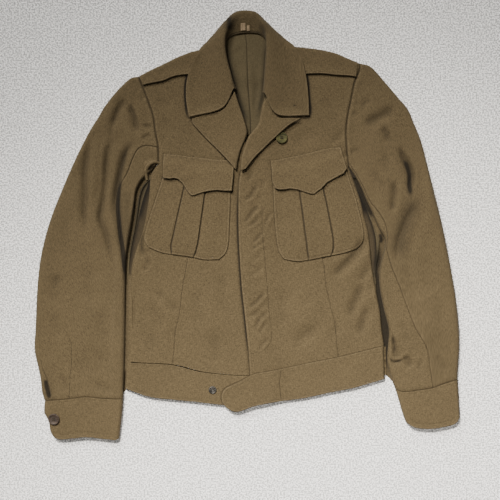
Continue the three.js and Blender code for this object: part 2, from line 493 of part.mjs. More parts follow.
// Lower face of the back, which lifts over the collar's back leaf and turns up to the side seams
function backs() {
  const half = BODY_HEIGHT / 2;
  const overLeaf = (p) => {
    const away = Math.hypot(p.x * LEAF.narrow, p.y - LEAF.y);
    return LEAF_ROOM * (1 - THREE.MathUtils.smoothstep(away, LEAF.flat, LEAF.end));
  };
  const build = (name, shape, across, down, edges) => {
    const face = surfaceOf(shape, across, down, (p) => {
      const round = Math.min(...edges.map((edge) => quarterRound(edge.distance(p), half)));
      const lift = overLeaf(p);
      return (half - SEAM / 2 - lift) * (1 - round / half) + lift;
    });
    const normals = normalsOf(face);
    const lining = movedAlong(face, normals, facesUp(normals) ? CLOTH : -CLOTH);
    lining.flat().forEach((p) => {
      p.z = Math.min(p.z, Math.max(half - SEAM / 2, Math.min(overLeaf(p) + CLOTH, half)));
    });
    wall(name, "sergeInside", face, lining);
  };
  const centre = { right: line.centreBack.moved(-0.15), left: line.centreBack.moved(0.15) };
  const armRight = joined(line.armholeRight, line.bodyEdgeRight);
  const armLeft = joined(line.armholeLeft, line.backEdgeLeft);
  const topRight = joined(line.shoulderRight, line.neckBackRight);
  const topLeft = joined(line.neckBackLeft, line.shoulderLeft);
  const { first, last, end } = roundShares(WIDTH.front, half);
  build("back_right", patch(topRight, line.waistBackRight, armRight, centre.right),
    [...first, ...even(6, end, 1).slice(1)], turning(armRight, 6, 8), [line.shoulderRight, line.bodyEdgeRight]);
  build("back_left", patch(topLeft, line.waistBackLeft, centre.left, armLeft),
    [...even(6, 0, 1 - end).slice(0, -1), ...last], turning(armLeft, 6, 8),
    [line.shoulderLeft, line.backEdgeLeft]);
}

// Flattened tube of a sleeve or cuff: stations run over the upper face from the outer edge to the
// inner one and back underneath; the two seams are stations, so that the pieces part there
function tube(shape, profile, folds, foreSeam) {
  const rows = even(profile.rows);
  const heightAt = (v) => {
    let i = 1;
    while (i < profile.table.length - 1 && profile.table[i].along < v) i += 1;
    const [a, b] = [profile.table[i - 1], profile.table[i]];
    return THREE.MathUtils.lerp(a.height, b.height, THREE.MathUtils.smoothstep(v, a.along, b.along));
  };
  return rows.map((v) => {
    const width = shape(0, v).distanceTo(shape(1, v));
    const height = heightAt(v);
    const radius = height / 2;
    const { first, last, end } = roundShares(width, radius);
    const seam = foreSeam ? seamShare(shape, v, foreSeam, end) : CUFF_SEAM_SHARE;
    const upper = [...first, ...even(7, end, seam).slice(1), ...even(3, seam, 1 - end).slice(1)];
    const corner = last.slice(1);
    const under = [...last.slice(0, -1).reverse(), ...even(6, 1 - end, end).slice(1),
      ...first.slice(0, -1).reverse()];
    const point = (u, face) => {
      const p = shape(u, v);
      const round = quarterRound(Math.min(u, 1 - u) * width, radius);
      const rise = face > 0 && folds ? folded(folds, p) * (round / radius) : 0;
      p.z = radius + face * round + rise;
      return p;
    };
    return [...[...upper, ...corner].map((u) => point(u, 1)), ...under.map((u) => point(u, -1))];
  });
}

// Share of the width at which the fore seam crosses a row
function seamShare(shape, down, seam, edge) {
  const shares = even(60, edge * 1.6, 1 - edge * 1.5);
  const away = shares.map((u) => seam.distance(shape(u, down)));
  return shares[away.indexOf(Math.min(...away))];
}

// Inside face of a tube; where the tube parts at its outer edge, no point crosses the height of that edge
function liningOf(rows, thickness, closed = false) {
  const normals = closed ? ringNormals(rows) : normalsOf(rows);
  const inward = facesUp(normals.map((row) => row.slice(0, TUBE_SEAM_STATION))) ? -thickness : thickness;
  return movedAlong(rows, normals, inward).map((row, i) => row.map((p, j) => {
    const edge = rows[i][0].z;
    if (!closed && j < 3) p.z = Math.max(p.z, edge);
    if (!closed && j > row.length - 4) p.z = Math.min(p.z, edge);
    return p;
  }));
}

function ringNormals(rows) {
  const wrapped = rows.map((row) => [row.at(-1), ...row, row[0]]);
  return normalsOf(wrapped).map((row) => row.slice(1, -1));
}

const drawnIn = (end, next) =>
  end.clone().addScaledVector(new THREE.Vector3().subVectors(next, end).normalize(), PARTING);

// Draws the two ends of a strip in, to leave the gap of a seam
function parted(rows) {
  return rows.map((row) => {
    const ends = row.slice();
    const last = row.length - 1;
    ends[0] = drawnIn(row[0], row[1]);
    ends[last] = drawnIn(row[last], row[last - 1]);
    return ends;
  });
}

function sleeve(side) {
  const right = side === "right";
  const key = right ? "Right" : "Left";
  const armhole = line[`armhole${key}`].moved(right ? -ARMHOLE_SEAM : ARMHOLE_SEAM);
  const wrist = line[`cuffSeam${key}`];
  const outer = line[`sleeveOuter${key}`].between(armhole.at(0), wrist.at(0));
  const inner = line[`sleeveInner${key}`].between(armhole.at(1), wrist.at(1));
  const shape = patch(armhole, wrist, outer, inner);
  const rows = tube(shape, { rows: 17, table: SLEEVE_PROFILE }, sleeveFolds, line[`foreSeam${key}`]);
  const lining = liningOf(rows, CLOTH);
  const strip = (from, to) => [rows, lining].map((grid) => parted(grid.map((row) => row.slice(from, to))));
  const last = rows[0].length;
  wall(`sleeve_upper_${side}`, "serge", ...strip(0, TUBE_SEAM_STATION + 1));
  wall(`sleeve_under_${side}`, "serge", ...strip(TUBE_SEAM_STATION, last));
}

function cuff(side) {
  const key = side === "right" ? "Right" : "Left";
  const seam = line[`cuffSeam${key}`].moved(side === "right" ? -SEAM : SEAM);
  const hem = line[`cuffHem${key}`];
  const outer = line[`cuffOuter${key}`].between(seam.at(0), hem.at(0));
  const shape = patch(seam, hem, outer, line[`cuffInner${key}`].between(seam.at(1), hem.at(1)));
  const table = [{ along: 0, height: CUFF_HEIGHT + 0.6 }, { along: 1, height: CUFF_HEIGHT }];
  const rows = tube(shape, { rows: 4, table }).map((row) => row.slice(0, -1));
  wall(`cuff_${side}`, "serge", rows, liningOf(rows, BAND_CLOTH, true), true);
}

// A sheet that lies on a front: its upper face stands off the front by its cloth and what it rests on
function overlay(name, shape, across, down, rise) {
  const face = surfaceOf(shape, across, down, (p, u, v) => frontHeight(p) + flyLift(p) * (p.x > SPLIT_X ? 1 : 0)
    + REST + CLOTH + rise(p, u, v));
  wall(name, "serge", face, lowered(face, CLOTH));
}

function pockets() {
  const onPleat = (u) => u > PLEAT.from && u < PLEAT.to;
  const shapes = {
    right: patch(line.pocketTopRight, line.pocketLowRight, line.pocketOutRight, line.pocketInRight),
    left: patch(line.pocketTopLeft, line.pocketLowLeft, line.pocketInLeft, line.pocketOutLeft),
  };
  const flaps = {
    right: patch(line.flapTopRight, line.flapLowRight, line.flapOutRight, line.flapInRight),
    left: patch(line.flapTopLeft, line.flapLowLeft, line.flapInLeft, line.flapOutLeft),
  };
  ["right", "left"].forEach((side) => {
    overlay(`pocket_${side}`, shapes[side], POCKET_ACROSS, even(9), (p, u) => (onPleat(u) ? PLEAT_RISE : 0));
    overlay(`pocket_flap_${side}`, flaps[side], even(20), even(4), (p, u, v) =>
      (REST + CLOTH + PLEAT_RISE) * THREE.MathUtils.smoothstep(v, 0, 0.5));
  });
}

function lapels() {
  const overFlap = (v) => LAPEL_OVER_FLAP * THREE.MathUtils.smoothstep(v, 0.6, 0.9);
  const build = (side, shape, across, roll) => {
    const face = surfaceOf(shape, across, even(9), (p, u, v) => {
      const away = roll.distance(p);
      const sprung = LAPEL_RISE * Math.exp(-((away / LAPEL_SPREAD) ** 2)) + overFlap(v);
      const full = frontHeight(p) + (side === "left" ? FLY_LIFT : RIGHT_LAPEL_LIFT) + REST + CLOTH + sprung;
      return full - ROLL_RADIUS + quarterRound(away, ROLL_RADIUS);
    });
    const normals = normalsOf(face);
    wall(`lapel_${side}`, "serge", face, movedAlong(face, normals, facesUp(normals) ? -CLOTH : CLOTH));
  };
  const { first, last, end } = roundShares(WIDTH.lapel, ROLL_RADIUS);
  build("right", patch(line.gorgeRight, line.lapelLowRight, line.lapelEdgeRight, line.lapelRollRight),
    [...even(7, 0, 1 - end).slice(0, -1), ...last], line.lapelRollRight);
  build("left", patch(line.gorgeLeft, line.lapelLowLeft, line.lapelRollLeft, line.lapelEdgeLeft),
    [...first, ...even(7, end, 1).slice(1)], line.lapelRollLeft);
}

// Section of the collar at one row: a smooth strip from the foot of the stand over the roll to the edge
function collarRows() {
  const rows = [...COLLAR_HALF, ...COLLAR_OTHER_HALF];
  const place = ([x, y, z]) => new THREE.Vector3(xOf(x), yOf(y), z);
  const along = ["foot", "roll", "bend", "edge"].map((key) =>
    new THREE.CatmullRomCurve3(rows.map((row) => place(row[key]))));
  return even(COLLAR_POINTS.round).map((s) => {
    const section = new THREE.CatmullRomCurve3(along.map((curve) => curve.getPoint(s)));
    return even(COLLAR_POINTS.across).map((t) => {
      const p = section.getPoint(t);
      p.z = Math.max(p.z, 0);
      return p;
    });
  });
}

function collar() {
  const face = collarRows();
  const normals = normalsOf(face);
  const leaf = normals.slice(0, LEAF_POINTS.round).map((row) => row.slice(-LEAF_POINTS.across));
  const outward = facesUp(leaf) ? 1 : -1;
  wall("collar", "serge", face, movedAlong(face, normals, -outward * CLOTH));
  const onLabel = (grid) => grid.slice(...LABEL_POINTS.round).map((row) => row.slice(...LABEL_POINTS.across));
  const label = onLabel(movedAlong(face, normals, outward * LABEL_GAP));
  wall("neck_label", "label", label, movedAlong(label, onLabel(normals), outward * LABEL_CLOTH));
}

function straps() {
  const right = patch(line.strapHighRight, line.strapLowRight, line.strapOutRight, line.strapInRight);
  const left = patch(line.strapHighLeft, line.strapLowLeft, line.strapInLeft, line.strapOutLeft);
  overlay("shoulder_strap_right", right, even(9), even(4), () => 0);
  overlay("shoulder_strap_left", left, even(9), even(4), () => 0);
}

function waistbands() {
  const half = BODY_HEIGHT / 2;
  const round = (p) =>
    quarterRound(Math.min(line.bandSideRight.distance(p), line.bandSideLeft.distance(p)), half);
  const band = (name, shape, across, height, towards) => {
    const face = surfaceOf(shape, across, even(3), height);
    const normals = normalsOf(face);
    const sign = facesUp(normals) ? towards : -towards;
    const lining = movedAlong(face, normals, sign * BAND_CLOTH);
    const limit = half - (towards * SEAM) / 2;
    lining.flat().forEach((p) => {
      p.z = towards < 0 ? Math.max(p.z, limit) : Math.min(p.z, limit);
    });
    wall(name, "serge", face, lining);
  };
  const right = patch(line.waistFrontRight.moved(-SEAM), line.hemRight, line.bandSideRight, line.bandEndRight);
  const left = patch(line.tabTop.moved(-SEAM), line.hemLeft, line.tabEnd, line.bandSideLeft);
  const back = patch(line.waistBack.moved(-SEAM), line.hemBack, line.backBandSideRight, line.backBandSideLeft);
  const upper = (p) => half + SEAM / 2 + round(p) * (1 + BAND_PROUD / half);
  const onTab = (p) => TAB_RISE * (1 - THREE.MathUtils.smoothstep(p.x, TAB_FLAT.from, TAB_FLAT.to));
  const front = roundShares(WIDTH.band, half);
  band("waistband_right", right, [...front.first, ...even(11, front.end, 1).slice(1)], upper, -1);
  band("waistband_left", left, [...even(16, 0, 1 - front.end).slice(0, -1), ...front.last],
    (p) => upper(p) + onTab(p), -1);
  const { first, last, end } = roundShares(WIDTH.backBand, half);
  band("waistband_back", back, [...first, ...even(14, end, 1 - end).slice(1, -1), ...last],
    (p) => (half - SEAM / 2) * (1 - round(p) / half), 1);
}

// Lining that shows in the gap between a sleeve and the body
function underarms() {
  ["Right", "Left"].forEach((key) => {
    const [outer, inner] = [OUTLINE[`underarmOut${key}`], OUTLINE[`underarmIn${key}`]];
    const shape = patch(new Line([outer[0], inner[0]]), new Line([outer.at(-1), inner.at(-1)]),
      line[`underarmOut${key}`], line[`underarmIn${key}`]);
    const face = surfaceOf(shape, even(2), even(8), () => BODY_HEIGHT / 2 - UNDERARM_DROP);
    wall(`underarm_panel_${key.toLowerCase()}`, "sergeInside", face, lowered(face, CLOTH));
  });
}

function fasteners() {
  FASTENERS.forEach(({ name, finish, at: [x, y], foot, diameter, height, dish }) => {
    const radius = diameter / 2;
    const profile = [[0, 0], [radius * 0.9, 0], [radius, height * 0.4], [radius * 0.96, height * 0.8],
      [radius * 0.86, height], [radius * 0.74, height], [radius * dish, height * 0.72], [0, height * 0.72]];
    const disc = new THREE.LatheGeometry(profile.map(([r, z]) => new THREE.Vector2(r, z)), BUTTON_SIDES);
    addMesh(name, finish, disc.rotateX(Math.PI / 2)).position.set(xOf(x), yOf(y), foot);
  });
}

fronts();
backs();
["right", "left"].forEach((side) => {
  sleeve(side);
  cuff(side);
});
pockets();
lapels();
collar();
straps();
waistbands();
underarms();
fasteners();

export default jacket;
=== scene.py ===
"""Looks of a waist-length wool field jacket that lies flat on its back with its collar open.

Outlines are drawn in squares of one pattern sheet, x to the wearer's left and y from the collar to
the hem. Heights and widths are in millimetres, and a finished mesh is in metres.
"""

import math
from collections import namedtuple

import bpy
import numpy as np
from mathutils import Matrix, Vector
from mathutils.bvhtree import BVHTree


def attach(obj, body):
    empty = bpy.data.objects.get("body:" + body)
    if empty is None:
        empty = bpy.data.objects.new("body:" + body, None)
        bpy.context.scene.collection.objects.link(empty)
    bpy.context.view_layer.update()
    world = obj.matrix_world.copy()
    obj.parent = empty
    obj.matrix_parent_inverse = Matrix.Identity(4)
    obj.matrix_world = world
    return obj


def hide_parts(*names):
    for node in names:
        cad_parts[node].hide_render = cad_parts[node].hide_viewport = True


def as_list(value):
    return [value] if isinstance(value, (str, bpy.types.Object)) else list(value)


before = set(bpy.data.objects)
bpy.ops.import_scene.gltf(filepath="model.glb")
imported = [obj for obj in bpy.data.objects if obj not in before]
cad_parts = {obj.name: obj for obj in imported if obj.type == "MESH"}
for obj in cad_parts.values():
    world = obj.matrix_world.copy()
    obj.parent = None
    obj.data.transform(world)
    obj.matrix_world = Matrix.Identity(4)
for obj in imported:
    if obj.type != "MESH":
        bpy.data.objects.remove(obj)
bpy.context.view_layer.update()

# Driving sizes
MM = 0.001
BACK_LENGTH = 586  # neck seam to hem, down the centre back
SQUARES_DOWN_BACK = 366
SQUARE = BACK_LENGTH / SQUARES_DOWN_BACK
MIDDLE = (247.2, 225.36)  # square of the sheet that lies at the origin
CLOTH = 1.8  # thickness of the serge
BAND_CLOTH = 2.4  # waistband and cuffs, which are of two layers
NOSE = 1.5  # how far in from a free edge the cloth has its full thickness
REST = 0.25  # clearance under a piece that lies on another
BODY_HEIGHT = 9
HALF_BODY = BODY_HEIGHT / 2
SIDE_GAP = 0.25  # between the front and the back at the side
SLEEVE_HEIGHT = 16
CUFF_HEIGHT = 13
FLY_LIFT = 3
LAPEL_RISE = 3.2  # how far a lapel stands up along its roll
ROLL_RADIUS = 3.6
LEAF_ROOM = 3.4  # the collar's back leaf lies under the back panels
PLEAT_RISE = 1.6
PLEAT = (0.345, 0.635)  # shares of a pocket's width at which its box pleat folds

# Spacing of the points of a mesh
FINE = 1.5
MEDIUM = 1.9
LONG = 2.5  # along a sleeve or a front, where folds run the same way
COARSE = 5.0
EDGE_STEPS = (0, 0.25, 0.6, 1.05, 1.5, 2.2, 3.2)  # close to a free edge

CollarRow = namedtuple("CollarRow", "foot roll bend edge")

# A fold of the cloth: its line on the sheet, half width, rise above the cloth or depth below it when
# less than nought, how much of a ridge stands beside it, to the left of its line or to the right when
# less than nought, and the share of its length over which each end fades out
Fold = namedtuple("Fold", "line width rise lean fade", defaults=(0, (0.3, 0.3)))

# Edges of the pieces on the pattern sheet; here and in the tables below, "x y" is one point of a line
OUTLINE = {
    "shoulderRight": "139 77, 150 71.3, 163.3 65, 180 57, 192 52.5, 203 50, 213 48, 224 45",
    "shoulderLeft": "269 45, 278 46, 290 47, 309.7 49, 325 51.5, 335.3 54, 348.7 59.7, 359.5 64",
    "armholeRight": "139 77, 143 87, 148 100, 153.7 116.7, 155.7 130.7, 158.7 148, 159 163",
    "armholeLeft": "359.5 64, 359 71.3, 354.5 82, 351.5 96, 349 108, 346.6 121, 345.6 134, 346.4 150, "
        "348.5 168",
    "sideSeamRight": "159 163, 151.5 175, 149.5 195, 147 212, 143 232, 136.5 250, 132.5 264, 130.6 290, "
        "130.2 330, 129.8 361",
    "bodyEdgeRight": "159 163, 150 178, 143 186, 139.5 195, 137.5 208, 135 224, 131.5 242, 128.8 257, "
        "127.6 284, 127.2 320, 126.8 360",
    "backEdgeLeft": "348.5 168, 353.5 180, 360.5 194, 366 206, 371.5 219, 377 232, 379 242, 378 254, "
        "375.6 268, 375.2 282, 376.7 295, 379.5 310, 381.5 330, 384 346",
    "bodyEdgeLeft": "348.5 168, 353 180, 360 200, 364 217, 367.5 230, 370 250, 372 270, 374.5 283, "
        "376.5 295, 379.5 310, 381.5 330, 384 346",
    "neckEdgeRight": "224 45, 222.5 60, 227 75, 230.5 89, 235 104, 239.5 119, 243.5 133, 246 146, 251 160, "
        "253.5 172, 253 200, 253 235, 257 294, 262 350, 264 376",
    "neckEdgeLeft": "269 45, 270.5 60, 269.5 75, 267.5 93, 265 106, 261.5 125, 256 134, 251 141, "
        "246.5 151, 243.5 161, 241 171, 239 182, 238.5 198, 238.7 235, 240.2 265, 242.5 294, 245.3 319, "
        "248.5 350, 250.2 375",
    "waistFrontRight": "129.8 361, 140.5 362, 170 363.5, 182.5 365.7, 200.4 370.6, 231.6 374.2, 250 375, "
        "264 376",
    "waistLeft": "250.2 375, 279 369.5, 308.4 363.2, 337.8 357.4, 384 346",
    "hemRight": "125.8 388, 138 392.5, 150.4 396.5, 173.6 399.2, 196 401.4, 222.7 404.3, 245 405.5",
    "hemLeft": "232 410, 237 411, 242 410, 251 406.5, 271.4 402, 302 398, 327.6 392.5, 353 387.4, "
        "384.3 378.5",
    "hemBack": "125.8 387.5, 150.4 395.5, 196 400.5, 245 404.5, 271.4 401, 302 397, 353 386.5, 384.3 378",
    "waistBack": "126.8 360, 170 363.5, 200.4 370.6, 250 375, 308.4 363.2, 384 346",
    "tabEnd": "231 385, 226 387.4, 222.8 391.5, 221.8 396, 222.6 401, 226 406, 232 410",
    "tabTop": "231 385, 238 382, 250.2 376.4, 279 370.9, 308.4 364.6, 337.8 358.8, 384 347.4",
    "centreBack": "249 35, 247 45, 247.2 65, 248.1 87, 249.5 105.5, 250.7 130, 250.5 250, 250 375",
    "neckBackRight": "224 45, 227 38.5, 236 36, 249 35",
    "neckBackLeft": "249 35, 258 35.5, 265.5 38, 269 45",
    "sleeveOuterRight": "139 77, 132 78.3, 125 83.7, 115.3 94, 104 108.7, 100 116, 91.2 130, 76 160, "
        "60.6 196, 52.4 217, 46.3 237, 41.2 260.6, 38.2 289, 36.4 330, 35.4 348.4, 37.8 361, 41.4 378, "
        "43 392, 45.6 400",
    "sleeveInnerRight": "158.4 163.4, 149.4 173, 141.4 181.5, 136.6 191.5, 134.8 206, 132.4 222, 129 241, "
        "126.8 256, 126.2 284, 125.8 320, 125.2 360, 124 388, 123.5 398.4",
    "sleeveOuterLeft": "359.5 64, 367.3 65.7, 372 68.7, 383.3 81.3, 396.7 97.3, 407.3 110, 412.7 122.7, "
        "419.3 138.7, 430 180, 440 220, 448.3 260, 455 300, 458 330, 458.4 348, 457 368, 456.6 379.2",
    "sleeveInnerLeft": "349.2 168.2, 355.5 178, 361.5 190, 366 201, 372 214, 378.5 229, 384 239, 384 248, "
        "380.5 262, 378.5 276, 379.5 290, 383.5 310, 388.2 330, 387.4 345, 386.5 360, 390 375.2, "
        "394.8 388.8",
    "cuffSeamRight": "45.6 400, 60 399, 71 398, 86.4 396.2, 106.4 398, 123.5 398.4",
    "cuffSeamLeft": "456.6 379.2, 446 382, 438 384.8, 430 387.6, 418 389.4, 402 391, 394.8 388.8",
    "cuffOuterRight": "45.4 401.2, 45.2 412, 49.4 420, 51.2 430.8, 55 437",
    "cuffInnerRight": "123.6 399.6, 122.8 410, 121.6 422, 119.8 438",
    "cuffHemRight": "55 437, 62.4 438.4, 76 437.2, 86.4 436.2, 108 438.4, 116 439.2, 119.8 438",
    "cuffOuterLeft": "456.8 380.6, 457.6 392, 459 416.8",
    "cuffInnerLeft": "395.4 390.2, 399.6 404.8, 402 412.8, 405.2 421.6",
    "cuffHemLeft": "459 416.8, 454 422.8, 446.8 425.2, 430 428, 413.2 426.4, 405.2 421.6",
    "foreSeamRight": "159 149, 148 146, 139 149, 133 161, 128 174, 121.5 185, 119 200, 120 218, 123 240, "
        "125.4 262, 125.6 284, 125 320, 124.4 360, 122.6 398.4",
    "foreSeamLeft": "348.3 164, 357 178, 366 198, 378 213, 385 226, 385.5 248, 390 265.3, 398 286, "
        "408 312.7, 414 328, 426 348.8, 428.4 364.8, 432 388",
    "gorgeRight": "192.5 119.6, 198.7 117.4, 209 114.2, 220 112.2, 225.5 108.5, 230 101, 235 92.5",
    "gorgeLeft": "264.4 99.6, 268 106.4, 272.4 115, 277 118.6, 292 119, 301 119.4",
    "lapelRollRight": "235 92.5, 239.6 107, 243.4 118, 247.2 132.5, 245.6 139, 241 150, 238.2 160, "
        "236.6 170.5",
    "lapelEdgeRight": "192.5 119.6, 192.8 124, 196 128, 207 140, 217.3 150, 226.7 160, 233.8 168",
    "lapelRollLeft": "264.4 99.6, 261.9 107, 260.4 115, 258.2 125, 252.4 132.4, 248.2 138, 244.2 149, "
        "241.4 160, 240.6 171",
    "lapelEdgeLeft": "301 119.4, 290 125.4, 284.5 129.7, 273.3 140, 265 148, 255 158, 246 169.5",
    "strapLowRight": "143.6 86.3, 150 84.7, 163.3 82, 175.3 77.3, 189 75.5, 204 74.5",
    "strapLowLeft": "292 76, 305.5 75.2, 320 74.7, 335.3 76.2, 349.3 77, 355.4 78",
    "pocketTopRight": "163.5 176, 185 180, 210 184, 230.5 184",
    "pocketLowRight": "149 247.6, 163 253, 180 255.5, 193 257.4, 204.6 259.9, 219 259.6",
    "pocketOutRight": "163.5 176, 159 190, 151 214, 145.5 232, 144.5 239, 149 247.6",
    "pocketInRight": "230.5 184, 230.3 204, 229.3 230, 228.7 243, 226 253, 219 259.6",
    "pocketTopLeft": "273 186, 290 184, 310 182, 330 176, 346 170",
    "pocketLowLeft": "284 259.4, 297 261.5, 309.4 260, 325.7 256.7, 344.8 252.8, 356 249",
    "pocketInLeft": "273 186, 273.5 203.6, 275 226.5, 276.9 243.8, 279.4 253.3, 284 259.4",
    "pocketOutLeft": "346 170, 350 182, 355 197, 360 216, 363.4 234, 361.5 243.5, 356 249",
    "flapTopRight": "164 154.5, 176 155, 190 157, 200 158, 217 160, 234 161",
    "flapLowRight": "163.4 178.5, 170 179.5, 175 178.7, 179 180, 183 184, 189 193.4, 191.5 196, 194.5 196, "
        "200 194, 205 192.5, 210 191.5, 218 190.7, 225 191.5, 232 191.4",
    "flapOutRight": "164 154.5, 163.5 165, 163.4 178.5",
    "flapInRight": "234 161, 233.6 175, 232 191.4",
    "flapTopLeft": "270.6 161.5, 287.4 158, 307 154, 321.7 150, 340 147",
    "flapLowLeft": "275 189, 278.5 190.2, 283.6 190.2, 289.3 189.2, 297 190.2, 302 191.8, 309.5 194.4, "
        "313.5 194.6, 320.9 189.2, 326.6 183, 335.2 178.2, 343 174, 346.3 169",
    "flapInLeft": "270.6 161.5, 271.6 172, 272.4 183, 275 189",
    "flapOutLeft": "340 147, 343 158, 346.3 169",
}

# The collar, from the wearer's right round to the middle: each row goes over it, from the foot of its
# stand to the free edge of its leaf, and has a height for each point
COLLAR_HALF = [
    CollarRow(foot=(236.5, 90, 12.5), roll=(234, 90.5, 18), bend=(223.5, 108.5, 16), edge=(189.6, 118.2, 12.6)),
    CollarRow(foot=(232.5, 79, 12.5), roll=(231, 77, 20), bend=(210, 94, 17), edge=(186.6, 101, 12.6)),
    CollarRow(foot=(228.6, 63, 12), roll=(226.8, 62, 21.5), bend=(207, 76, 17.5), edge=(187, 84, 13.6)),
    CollarRow(foot=(226.4, 51, 11.5), roll=(224.6, 48, 22.5), bend=(207, 60, 17.5), edge=(191, 69, 14)),
    CollarRow(foot=(226.5, 43, 10.5), roll=(225.5, 36, 22.5), bend=(210, 45, 16.5), edge=(199.6, 54, 13.8)),
    CollarRow(foot=(228.6, 39, 9.2), roll=(228, 29, 21.5), bend=(209.6, 41, 11), edge=(204.6, 44.6, 5.5)),
    CollarRow(foot=(231.6, 36.6, 8.2), roll=(231, 23, 20), bend=(215, 33.4, 7.6), edge=(210, 42.6, 0)),
    CollarRow(foot=(236, 34.8, 7.6), roll=(234, 18, 18), bend=(221.6, 26, 6.4), edge=(217, 50, 0)),
    CollarRow(foot=(242, 33.6, 7.2), roll=(240.5, 14, 15.5), bend=(233, 14.6, 5), edge=(231, 58, 0)),
    CollarRow(foot=(249, 33.2, 7), roll=(248.5, 13.8, 15), bend=(247, 11.9, 5), edge=(248, 60, 0)),
]

COLLAR_OTHER_HALF = [
    CollarRow(foot=(256, 33.6, 7.2), roll=(255, 14.4, 15.5), bend=(257.4, 14.6, 5), edge=(265, 58, 0)),
    CollarRow(foot=(260, 35, 7.6), roll=(259, 19.6, 18), bend=(267.4, 23.6, 6.4), edge=(277, 51, 0)),
    CollarRow(foot=(262.6, 37, 8.2), roll=(262.6, 25, 20), bend=(275.6, 31.4, 7.6), edge=(283.4, 41.6, 0)),
    CollarRow(foot=(264.6, 39.6, 9.2), roll=(265, 31, 21.5), bend=(281.6, 37.4, 11), edge=(288.6, 43, 5.5)),
    CollarRow(foot=(266, 44, 10.5), roll=(266.4, 38, 22.5), bend=(284, 44, 16.5), edge=(294.6, 50.4, 13.8)),
    CollarRow(foot=(265.6, 52, 11.5), roll=(266.8, 49, 22.5), bend=(286, 58, 17.5), edge=(301, 60, 14)),
    CollarRow(foot=(264.6, 64, 12), roll=(266.4, 62, 21.5), bend=(287, 76, 17.5), edge=(306, 79, 13.6)),
    CollarRow(foot=(263.4, 81, 12.5), roll=(265.2, 79, 20), bend=(286, 97, 17), edge=(308.2, 99, 12.6)),
    CollarRow(foot=(262, 94, 12.5), roll=(264.4, 95, 18), bend=(275.6, 114.8, 16), edge=(308.8, 116.6, 12.6)),
]

# Broad folds of the fronts
FRONT_FOLDS = [
    Fold("368 235, 358 250, 342 267, 328 283", 9, -2),
    Fold("361 241, 349 257, 333 271", 9, 1.6),
    Fold("362 280, 356 300, 350 320", 8, -1.3),
    Fold("369 305, 363 322, 360 337", 8, -1.2),
    Fold("316 325, 300 341, 291 347", 10, -0.7),
    Fold("143 230, 142 250, 146 262", 9, -1.4),
    Fold("160 290, 168 312, 172 335", 14, 1.2),
    Fold("205 280, 212 310, 214 345", 22, 1.2),
    Fold("300 285, 305 315, 302 335", 20, 1.2),
]

# Broad folds of the sleeves
SLEEVE_FOLDS = [
    Fold("94 130, 88 155, 86 180, 86 214, 88 242", 8, -3),
    Fold("121 130, 111 147, 106 178, 102 215, 108 240, 119 274", 8, -3.4),
    Fold("103 133, 99 160, 96 200", 8, 1.6),
    Fold("126 96, 121 112, 114 130", 9, -3),
    Fold("130 103, 134 118, 138 135", 6, -2.6),
    Fold("137 140, 126 153, 119 180, 116 205, 118 228", 6, -3.6),
    Fold("122 186, 119.5 203, 122 236, 126 272", 5, -3.4),
    Fold("60 273, 56 288, 50 305", 14, -1.6),
    Fold("90 290, 92 330, 92 370", 26, 1.8),
    Fold("362 126, 378 118, 395 107", 11, -2.6),
    Fold("380 127, 386 135, 388 146", 7, -1.8),
    Fold("399 145, 404 159, 410 176, 411 194", 8, -3.8),
    Fold("416 199, 408 218, 401 240, 398 268", 15, -3.4),
    Fold("394 180, 393 200, 390.5 215", 8, -2.4),
    Fold("424 165, 428 200, 426 240", 12, 1.8),
    Fold("391 334, 394.4 350, 397 360, 402 360", 7, -3),
    Fold([(404, 354), (411, 367)], 8, -1.8),
    Fold("425 280, 432 320, 436 350", 20, 1.6),
]

